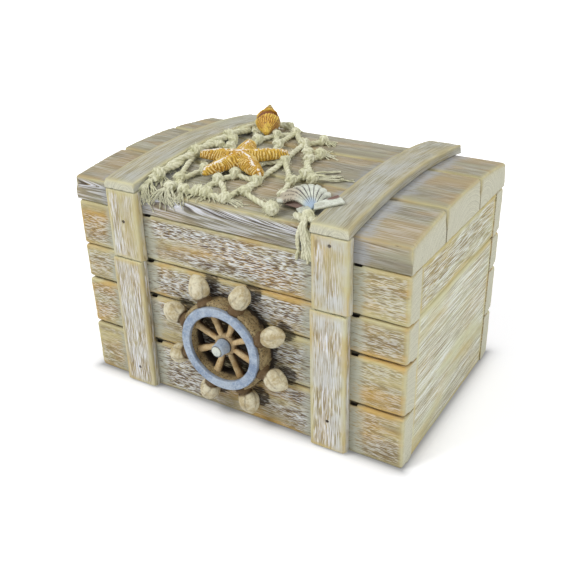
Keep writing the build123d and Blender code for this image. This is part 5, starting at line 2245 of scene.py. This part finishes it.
@dataclass
class Whelk:
    """The whelk: a stepped spire over a swollen last turn, with its mouth open to the front."""

    left_of_knot: float = 8.97 * MM
    behind_knot: float = 5.22 * MM
    length: float = 30.0 * MM
    radius: float = 7.2 * MM
    turn: float = 118.0
    tilt: float = 24.0
    sink: float = 0.4 * MM
    pitch: float = 0.132
    first_seam: float = 0.505
    rib_height: float = 0.42 * MM
    nodule_height: float = 0.5 * MM
    roughness: float = 0.9 * MM
    mouth_depth: float = 1.7 * MM
    rows: int = 190
    around: int = 120

    def whorls(self, share: Array, angle: Array) -> Tuple[Array, Array]:
        """How the spire's turns stand out of its cone, and where their seams lie.

        Args:
            share: Places along the axis, from the canal to the tip.
            angle: Places round the axis.

        Returns:
            The factor of the radius, and the seams' strength.
        """
        phase = (share - self.first_seam) / self.pitch + angle / TURN
        part = phase - np.floor(phase)
        step = np.interp(part, (0.0, 0.07, 0.5, 0.78, 0.92, 1.0), (0.80, 1.12, 1.08, 1.0, 0.86, 0.80))
        strength = np.interp(share + 0 * angle, (0.38, 0.50, 0.97, 1.0), (0.0, 1.0, 1.0, 0.0))
        seam = np.exp(-(np.minimum(part, 1 - part) / 0.09) ** 2) * strength
        return 1 + (step - 1) * strength, seam

    def build(self) -> None:
        """Make the whelk."""
        share = np.linspace(0, 1, self.rows)[:, None]
        angle = np.linspace(0, TURN, self.around, endpoint=False)[None, :]
        around = (angle + math.pi) % TURN - math.pi
        outline = (0.0, 0.06, 0.12, 0.20, 0.28, 0.34, 0.40, 0.46, 0.52, 0.65, 0.785, 0.91, 0.97, 1.0)
        reach = (0.20, 0.30, 0.42, 0.64, 0.84, 0.95, 1.00, 0.96, 0.80, 0.59, 0.38, 0.19, 0.10, 0.01)
        wide = np.interp(share, outline, reach)
        factor, seam = self.whorls(share, angle)
        flat = np.stack(
            [share * 9 + 0 * angle, np.cos(angle) * 2 + 0 * share, np.sin(angle) * 2 + 0 * share], axis=-1,
        )
        rough = layered_noise(flat.reshape(-1, 3) * 2.2, 61, 3).reshape(factor.shape) - 0.5
        rib = 0.5 + 0.5 * np.cos(around * 27 + rough * 9 + share * 6)
        body = ease((0.46 - share + 0 * angle).ravel(), -0.02, 0.06).reshape(factor.shape)
        nodules = (0.5 + 0.5 * np.cos(around * 9 + 1.0)) * np.exp(-((share - 0.535) / 0.03) ** 2)
        slit = np.exp(-((share - 0.425 + 0.04 * around) / 0.046) ** 2)
        mouth = slit * np.exp(-((around + 0.05) / 1.15) ** 4)
        radius = wide * self.radius * factor
        radius = radius + (rib - 0.5) * self.rib_height * body * ease(wide, 0.2, 0.8)
        radius = radius + nodules * self.nodule_height + rough * self.roughness * wide
        radius = radius - mouth * self.mouth_depth
        radius = np.maximum(radius, 0.12 * MM)
        x = (share - 0.5) * self.length + 0 * angle
        points = np.stack([x, radius * np.sin(angle), radius * np.cos(angle)], axis=-1).reshape(-1, 3)
        tilt = np.array(Matrix.Rotation(-math.radians(self.tilt), 3, "Y"))
        points = points @ tilt.T + np.array([0, 0, self.radius - self.sink])
        x_at, y_at = NET.place("rear_a")
        placed = on_net(points, x_at - self.left_of_knot, y_at + self.behind_knot, self.turn)
        full = np.broadcast_to(share, factor.shape)
        marks = {
            "rib": (0.5 + (rib - 0.5) * body).ravel(),
            # Painted shade in the mouth and seams.
            "deep": np.clip(np.maximum(mouth * 1.8, seam * 0.7), 0, 1).ravel(),
            "spire": ease(full.ravel(), 0.62, 0.86),
            "shady": ease(-np.broadcast_to(around, factor.shape).ravel(), 0.7, 1.5),
        }
        piece = make_object("whelk_ribbed", placed, tube_faces(self.rows, self.around), marks)
        fix_normals(piece)
        settle(piece, "lid", ["whelk_shell"], WhelkFinish().build())


@dataclass(frozen=True)
class ScallopFinish:
    """A worn scallop: grey-white ribs, dark lines at the hinge, a blue-grey beak, a rust spot on one ear, and
    painted shade on the sheet under its front edge.
    """

    name: str = "worn_scallop"
    white: Colour = tint(216, 220, 206)
    grey: Colour = tint(180, 182, 166)
    tan: Colour = tint(180, 166, 142)
    dark: Colour = tint(62, 54, 60)
    blue: Colour = tint(170, 192, 216)
    # Rust for the ear's spot, and painted shade on the sheet under the front edge.
    rust_and_shade: Colour = tint(112, 82, 72)

    def build(self) -> Material:
        """Make the material from the shell's "rib", "out", "side" and "spot" attributes.

        Returns:
            The finished material.
        """
        shader = Shader(self.name)
        place = shader.place()
        rib, out, side = shader.attribute("rib"), shader.attribute("out"), shader.attribute("side")
        grit = shader.noise(place * 1100.0, 3.0, 0.7)
        broad = shader.noise(place * 200.0, 2.0)
        colour = shader.mix(shader.step(broad * 0.6 + grit * 0.4, 0.38, 0.60), self.grey, self.white)
        colour = shader.mix(shader.step(side, 0.0, 0.6) * shader.step(out, 0.3, 0.6) * 0.8, colour, self.tan)
        mottled = shader.step(grit, 0.46, 0.56) * shader.step(side, -0.1, 0.35) * shader.step(out, 0.30, 0.5)
        colour = shader.mix(mottled * shader.step(rib, 0.95, 0.4) * 0.75, colour, self.dark)
        colour = shader.mix(
            shader.step(side, 0.86, 0.97) * shader.step(out, 0.8, 0.9) * 0.9, colour, self.white,
        )
        colour = shader.mix(shader.step(out, 0.34, 0.14) * 0.85, colour, self.blue)
        lines = shader.step(rib + (grit - 0.5) * 0.4, 0.62, 0.20) * shader.step(out, 0.10, 0.20)
        colour = shader.mix(
            lines * shader.step(out, 0.92, 0.50) * shader.step(side, 0.8, 0.4) * 0.95, colour, self.dark,
        )
        colour = shader.mix(shader.attribute("spot"), colour, self.rust_and_shade)
        return shader.close({
            "Base Color": colour,
            "Roughness": 0.55 + grit * 0.2,
            "Specular IOR Level": 0.4,
            "Normal": shader.bump(grit, 0.4, 0.3 * MM),
        })


@dataclass
class Scallop:
    """The scallop: a thin domed fan of ribs, with an ear at each side of its hinge."""

    right_of_knot: float = 23.5 * MM
    before_knot: float = 11.0 * MM
    turn: float = 131.0
    radius: float = 24.0 * MM
    spread: float = 84.0
    rise: float = 6.4 * MM
    ribs: int = 9
    thick: float = 1.1 * MM
    scoop: float = 0.9 * MM
    crest_height: float = 0.75 * MM
    growth_height: float = 0.16 * MM
    edge_lift: float = 2.7 * MM
    rows: int = 56
    per_rib: int = 16

    def sheet(self, top: Array) -> Tuple[Array, Faces]:
        """Close a grid of points below into a thin shell.

        Args:
            top: The outer surface, as rows of columns of points.

        Returns:
            The shell's corners and faces.
        """
        rows, columns = top.shape[:2]
        low = top.copy()
        low[..., 2] = np.maximum(top[..., 2] - self.thick, 0.12 * MM)
        points = np.concatenate([top.reshape(-1, 3), low.reshape(-1, 3)])
        under = rows * columns
        faces: Faces = []
        for i in range(rows - 1):
            for j in range(columns - 1):
                a, b = i * columns + j, (i + 1) * columns + j
                faces.append((a, b, b + 1, a + 1))
                faces.append((under + a, under + a + 1, under + b + 1, under + b))
        rim = list(range(columns)) + [i * columns + columns - 1 for i in range(1, rows)]
        rim += [(rows - 1) * columns + j for j in range(columns - 2, -1, -1)]
        rim += [i * columns for i in range(rows - 2, 0, -1)]
        for here, there in zip(rim, rim[1:] + rim[:1]):
            faces.append((here, there, under + there, under + here))
        return points, faces

    def dome(self, out: Any) -> Any:
        """The fan's height as a share of its rise, from its hinge outwards."""
        shares = (0.05, 0.20, 0.40, 0.60, 0.78, 0.92, 1.0)
        return np.interp(out, shares, (0.48, 0.78, 0.96, 1.0, 0.84, 0.56, 0.34))

    def lifted(self, out: Any, side: Any) -> Any:
        """How far the fan's front edge arches up over the hollow below it."""
        arch = np.sin(math.pi * np.clip((np.asarray(out) - 0.12) / 0.70, 0, 1))
        return self.edge_lift * arch * np.clip((np.asarray(side) - 0.40) / 0.60, 0, 1)

    def shade_sheet(self) -> Tuple[Array, Faces, Marks]:
        """A dark sheet that rises under the fan's lifted front edge, as painted shade there.

        Returns:
            Its corners, faces and attributes.
        """
        out = np.linspace(0.16, 0.80, 24)[:, None]
        side = np.linspace(0.97, 0.55, 10)[None, :]
        angle = np.radians(self.spread / 2) * side
        under = self.dome(out) * self.rise * (1 - 0.62 * side ** 2) + self.lifted(out, side) - self.thick
        rise = 0.4 * MM + (under - 0.6 * MM) * ((0.97 - side) / 0.42) ** 0.8
        reach = out * self.radius * 0.92 + 0 * side
        top = np.stack([reach * np.cos(angle), reach * np.sin(angle), rise], axis=-1)
        points, faces = self.sheet(top)
        count = len(points)
        # Nearly all of the sheet takes the rust colour, as painted shade.
        marks = {
            "rib": np.ones(count), "out": np.full(count, 0.6), "side": np.zeros(count),
            "spot": np.full(count, 0.9),
        }
        return points, faces, marks

    def fan(self) -> Tuple[Array, Faces, Marks]:
        """The ribbed fan.

        Returns:
            Its corners, faces and attributes.
        """
        columns = self.ribs * self.per_rib + 1
        out = np.linspace(0.05, 1.0, self.rows)[:, None]
        side = np.linspace(-1, 1, columns)[None, :]
        ribbing = math.pi * self.ribs * (side + 1) / 2
        scallops = np.abs(np.sin(ribbing)) ** 0.8
        crest = 0.65 * scallops + 0.35 * np.abs(np.sin(2 * ribbing)) ** 0.8
        angle = np.radians(self.spread / 2) * side
        shares = (-1.0, -0.75, -0.4, 0.0, 0.5, 0.83, 1.0)
        rounded = np.interp(side, shares, (0.70, 0.80, 0.99, 1.03, 1.02, 0.96, 0.90))
        reach = out * (self.radius * rounded + self.scoop * scallops * out ** 4)
        height = self.dome(out) * self.rise * (1 - 0.62 * side ** 2) + self.lifted(out, side)
        flat = np.stack([out * 4 + 0 * side, side * 3 + 0 * out, 0 * out * side], -1).reshape(-1, 3)
        growth = 0.5 + 0.5 * np.sin(out * 75 + 3 * layered_noise(flat, 3).reshape(self.rows, columns))
        height = height + (crest - 0.6) * self.crest_height * out ** 0.6 * (1 - 0.3 * side ** 2)
        height = np.maximum(height + growth * self.growth_height * out, 0.5 * MM)
        top = np.stack([reach * np.cos(angle), reach * np.sin(angle), height], axis=-1)
        points, faces = self.sheet(top)
        shown = {"rib": scallops, "out": out, "side": side, "spot": 0.0}
        marks = {
            key: np.tile(np.broadcast_to(values, height.shape).ravel(), 2) for key, values in shown.items()
        }
        return points, faces, marks

    def ear(self, corners: Sequence[Triple], spot: Pair) -> Tuple[Array, Faces, Marks]:
        """One ear, as a curved patch between four corners.

        Args:
            corners: Its corners in millimetres, anticlockwise from the hinge.
            spot: The share of its two directions where its rust spot lies.

        Returns:
            Its corners, faces and attributes.
        """
        a, b, c, d = (np.array(corner) * MM for corner in corners)
        rows, columns = 22, 18
        u = np.linspace(0, 1, rows)[:, None, None]
        v = np.linspace(0, 1, columns)[None, :, None]
        top = (a * (1 - u) + b * u) * (1 - v) + (d * (1 - u) + c * u) * v
        ridges = 0.5 + 0.5 * np.cos(v * 20)
        top[..., 2:] += 0.7 * MM * np.sin(math.pi * v) * (1 - 0.4 * u) + ridges * 0.22 * MM
        points, faces = self.sheet(top)
        away = np.sqrt((u - spot[0]) ** 2 + (v - spot[1]) ** 2)[..., 0]
        marks = {
            "rib": np.tile(np.broadcast_to(ridges, (rows, columns, 1)).ravel(), 2) * 0.4 + 0.6,
            "out": np.full(len(points), 0.5),
            "side": np.full(len(points), -1.0),
            "spot": np.tile(ease(-away, -0.34, -0.22).ravel(), 2),
        }
        return points, faces, marks

    def build(self) -> None:
        """Make the scallop."""
        right = ((-0.8, -0.2, 2.9), (-0.6, -15.0, 3.5), (7.4, -13.4, 3.5), (3.6, -1.2, 3.3))
        left = ((4.6, 2.6, 2.4), (4.8, 7.2, 1.5), (0.0, 6.8, 1.4), (-0.6, 0.6, 2.0))
        parts = [self.fan(), self.shade_sheet(), self.ear(right, (0.80, 0.82)), self.ear(left, (9.0, 9.0))]
        points: List[Array] = []
        faces: Faces = []
        marks: Dict[str, List[Array]] = {"rib": [], "out": [], "side": [], "spot": []}
        for part_points, part_faces, part_marks in parts:
            base = sum(len(block) for block in points)
            points.append(part_points)
            faces += [tuple(base + corner for corner in face) for face in part_faces]
            for key in marks:
                marks[key].append(part_marks[key])
        x, y = NET.place("edge_g")
        placed = on_net(np.concatenate(points), x + self.right_of_knot, y - self.before_knot, self.turn)
        joined = {key: np.concatenate(values) for key, values in marks.items()}
        piece = make_object("scallop_ribbed", placed, faces, joined)
        fix_normals(piece)
        settle(piece, "lid", ["scallop_shell"], ScallopFinish().build())


def fix_normals(piece: Piece) -> None:
    """Turn a closed mesh's faces outwards.

    Args:
        piece: The mesh's object.
    """
    mesh = bmesh.new()
    mesh.from_mesh(piece.data)
    bmesh.ops.recalc_face_normals(mesh, faces=mesh.faces)
    mesh.to_mesh(piece.data)
    mesh.free()


@dataclass
class Hardware:
    """The hinges, their pins and screws, and the straps' brads."""

    head_radius: float = 1.7 * MM
    head_depth: float = 0.8 * MM
    shank_radius: float = 0.8 * MM
    slot_half: float = 0.24 * MM
    slot_depth: float = 0.38 * MM
    reach: float = 7.0 * MM
    segments: int = 72

    def screw_model(self) -> Piece:
        """A countersunk screw with a low domed, slotted head at the origin, pointing to -Y.

        Returns:
            The screw.
        """
        shank, head, tip = self.shank_radius, self.head_radius, -self.reach
        profile = [
            (0.0, tip), (shank * 0.4, tip + 0.6 * MM), (shank, tip + 1.6 * MM), (shank, -self.head_depth),
        ]
        profile += [(head - 0.08 * MM, -0.12 * MM), (head, -0.06 * MM)]
        for row in range(1, 13):
            share = 1 - row / 12
            profile.append((head * share, -0.06 * MM * share ** 2))
        points, faces = turned(profile, self.segments, False)
        slot = ease(-np.abs(points[:, 0]), -self.slot_half - 0.06 * MM, -self.slot_half)
        slot = slot * (points[:, 2] > -0.08 * MM)
        points[:, 2] -= slot * self.slot_depth
        placed = np.stack([points[:, 0], points[:, 2], -points[:, 1]], axis=1)
        return make_object("screw_model", placed, faces)

    def screw_places(self, node: str) -> Array:
        """The middles of a node's screw heads, found from its own corners.

        Args:
            node: The node's name.

        Returns:
            The middles, one row each.
        """
        corners = np.array([vertex.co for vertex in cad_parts[node].data.vertices])
        face = corners[:, 1].max()
        heads = corners[corners[:, 1] > face - 0.1 * MM]
        found: List[Array] = []
        while len(heads):
            near = np.linalg.norm(heads - heads[0], axis=1) < 2.2 * self.head_radius
            found.append((heads[near].min(0) + heads[near].max(0)) / 2)
            heads = heads[~near]
        return np.array(found)

    def drive_screws(self, tree: GeometryTree, node: str, body: str, finish: Material) -> None:
        """Set slotted screws in a node's places, each turned as it happened to stop.

        Args:
            tree: The group that sets copies at points.
            node: The node that the screws replace.
            body: The body that they ride on.
            finish: Their material.
        """
        places = self.screw_places(node)
        stops = np.random.default_rng(len(node)).uniform(0, math.pi, len(places))
        turns = np.stack([0 * stops, stops, 0 * stops], axis=1)
        holder = make_object(f"{node}_places", places, [], {"turn": turns})
        model = self.screw_model()
        piece = tree.apply(holder, f"{node}_slotted", {"Model": model, "Material": finish})
        bpy.data.objects.remove(model)
        settle(piece, body, [node])

    def dress(self, nodes: Sequence[str], finish: Material) -> None:
        """Give nodes a finish in their own material slots.

        Args:
            nodes: The nodes' names.
            finish: The material.
        """
        for name in nodes:
            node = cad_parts[name]
            node.data.materials.clear()
            node.data.materials.append(finish)

    def build(self) -> None:
        """Dress the small metal pieces."""
        brass = MetalFinish("aged_brass", tint(206, 170, 98), tint(140, 108, 62)).build()
        dull = MetalFinish("dull_brass", tint(164, 128, 74), tint(96, 74, 46), 0.45).build()
        steel = MetalFinish("dark_steel", tint(96, 90, 84), tint(58, 48, 40), 0.5).build()
        leaves = [
            f"hinge_{side}_{part}" for side in ("left", "right") for part in ("base_leaf", "lid_leaf", "pin")
        ]
        self.dress(leaves, brass)
        self.dress(["base_strap_brads", "lid_strap_brads"], steel)
        log.info("hardware: %d nodes dressed", len(leaves) + 2)
        tree = copies_at_points()
        self.drive_screws(tree, "hinge_base_screws", "base", dull)
        self.drive_screws(tree, "hinge_lid_screws", "lid", dull)


NET = Netting()


@dataclass
class Studio:
    """The floor, the lights and the camera."""

    camera_place: Triple = (219.593 * MM, -360.919 * MM, 270.184 * MM)
    camera_turns: Triple = (31.783, 62.347, -1.385)
    focal_pixels: float = 807.8
    frame_pixels: float = 576.0
    sensor: float = 36.0
    floor_half: float = 3.0
    world_strength: float = 0.50
    floor_lift: float = 0.36
    painted_contact_shadow_depth: float = 0.62
    painted_shadow_kept_each_mm: float = 0.79
    fade: Pair = (0.25, 0.8)
    floor_colour: Colour = (0.88, 0.88, 0.89, 1.0)
    world_colour: Colour = (0.97, 0.98, 1.0, 1.0)
    aim: Triple = (0, 0, 0.06)
    lamps: Tuple[Tuple[str, Triple, float, float], ...] = (
        ("key_lamp", (-0.55, -0.8, 1.1), 0.45, 9.6),
        ("side_lamp", (1.2, -0.2, 0.8), 0.8, 5.0),
        ("back_lamp", (0.2, 1.1, 0.9), 0.8, 4.0),
    )

    def set_camera(self) -> None:
        """Place the camera where the photograph was taken from."""
        data = bpy.data.cameras.new("camera")
        data.sensor_width = self.sensor
        data.sensor_fit = "HORIZONTAL"
        data.lens = self.focal_pixels / self.frame_pixels * self.sensor
        data.clip_start, data.clip_end = 0.02, 20.0
        camera = bpy.data.objects.new("camera", data)
        heading, tilt, roll = (math.radians(angle) for angle in self.camera_turns)
        look = Matrix.Rotation(heading, 4, "Z") @ Matrix.Rotation(tilt, 4, "X")
        look = look @ Matrix.Rotation(roll, 4, "Z")
        camera.matrix_world = Matrix.Translation(self.camera_place) @ look
        bpy.context.scene.collection.objects.link(camera)
        bpy.context.scene.camera = camera

    def seen(self, tree: Tree) -> Sock:
        """Whether the eye, a mirror or glass looks at the background.

        Args:
            tree: The tree that asks.

        Returns:
            1 or more where one of them does, and otherwise 0.
        """
        ray = tree.add("ShaderNodeLightPath")
        looks = [tree.out(ray, name) for name in ("Is Camera Ray", "Is Glossy Ray", "Is Transmission Ray")]
        return looks[0] + looks[1] + looks[2]

    def lay_floor(self) -> None:
        """Lay a pale floor that looks white, keeps the chest's shadow and has a painted contact shadow round
        the chest's foot.
        """
        reach = self.floor_half
        corners = np.array(
            [(-reach, -reach, 0), (reach, -reach, 0), (reach, reach, 0), (-reach, reach, 0)], float,
        )
        floor = make_object("floor", corners, [(0, 1, 2, 3)])
        tree = Shader("floor_white")
        away = tree.get("ShaderNodeVectorMath", {"operation": "LENGTH"}, {0: tree.place()}, key="Value")
        none = (0.0, 0.0, 0.0)
        # A painted contact shadow that fades with the distance from the chest's foot.
        foot = (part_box("base_front_board_bottom")[1].x, SIZES.half_depth, 0.0)
        beside = tree.reckon("MAXIMUM", tree.reckon("ABSOLUTE", tree.place(), none) - foot, none)
        gap = tree.get("ShaderNodeVectorMath", {"operation": "LENGTH"}, {0: beside}, key="Value")
        shade = 1 - tree.reckon("POWER", self.painted_shadow_kept_each_mm, gap * (1 / MM)) * self.painted_contact_shadow_depth
        lift = self.floor_lift + tree.step(away, *self.fade) * (1 - self.floor_lift)
        pale = tree.mix(shade, (0.0, 0.0, 0.0, 1.0), self.floor_colour)
        diffuse = tree.add("ShaderNodeBsdfDiffuse", None, {"Color": pale})
        strength = self.seen(tree) * lift * shade
        glow = tree.add("ShaderNodeEmission", None, {"Color": (1.0, 1.0, 1.0, 1.0), "Strength": strength})
        added = tree.add("ShaderNodeAddShader", None, {0: tree.out(diffuse), 1: tree.out(glow)})
        tree.add("ShaderNodeOutputMaterial", None, {"Surface": tree.out(added)})
        floor.data.materials.append(tree.material)

    def set_world(self) -> None:
        """Light the chest softly from all round, on white for the eye."""
        world = bpy.data.worlds.new("studio")
        world.use_nodes = True
        world.node_tree.nodes.clear()
        bpy.context.scene.world = world
        tree = Tree(world.node_tree)
        light = tree.add(
            "ShaderNodeBackground", None, {"Color": self.world_colour, "Strength": self.world_strength},
        )
        white = tree.add("ShaderNodeBackground", None, {"Color": (1.0, 1.0, 1.0, 1.0), "Strength": 1.0})
        mixed = tree.add(
            "ShaderNodeMixShader", None, {0: self.seen(tree), 1: tree.out(light), 2: tree.out(white)},
        )
        tree.add("ShaderNodeOutputWorld", None, {"Surface": tree.out(mixed)})

    def hang_lamp(self, name: str, place: Triple, size: float, power: float) -> None:
        """Hang a square soft lamp that looks at the chest's middle.

        Args:
            name: The lamp's name.
            place: Where it hangs.
            size: Its width.
            power: Its power in watts.
        """
        data = bpy.data.lights.new(name, "AREA")
        data.size = size
        data.energy = power
        lamp = bpy.data.objects.new(name, data)
        look = Vector(self.aim) - Vector(place)
        lamp.matrix_world = Matrix.Translation(place) @ look.to_track_quat("-Z", "Y").to_matrix().to_4x4()
        bpy.context.scene.collection.objects.link(lamp)

    def build(self) -> None:
        """Set the whole studio up."""
        self.set_camera()
        self.lay_floor()
        self.set_world()
        for lamp in self.lamps:
            self.hang_lamp(*lamp)
        bpy.context.scene.view_settings.view_transform = "Standard"


def main() -> None:
    """Build the chest's looks around its frame, piece by piece."""
    logging.basicConfig(level=logging.INFO, format="%(name)s %(message)s")
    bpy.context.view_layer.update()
    for maker in (Studio(), Woodwork(), Wheel(), NET, Starfish(), Whelk(), Scallop(), Hardware()):
        maker.build()


if __name__ == "__main__":
    main()
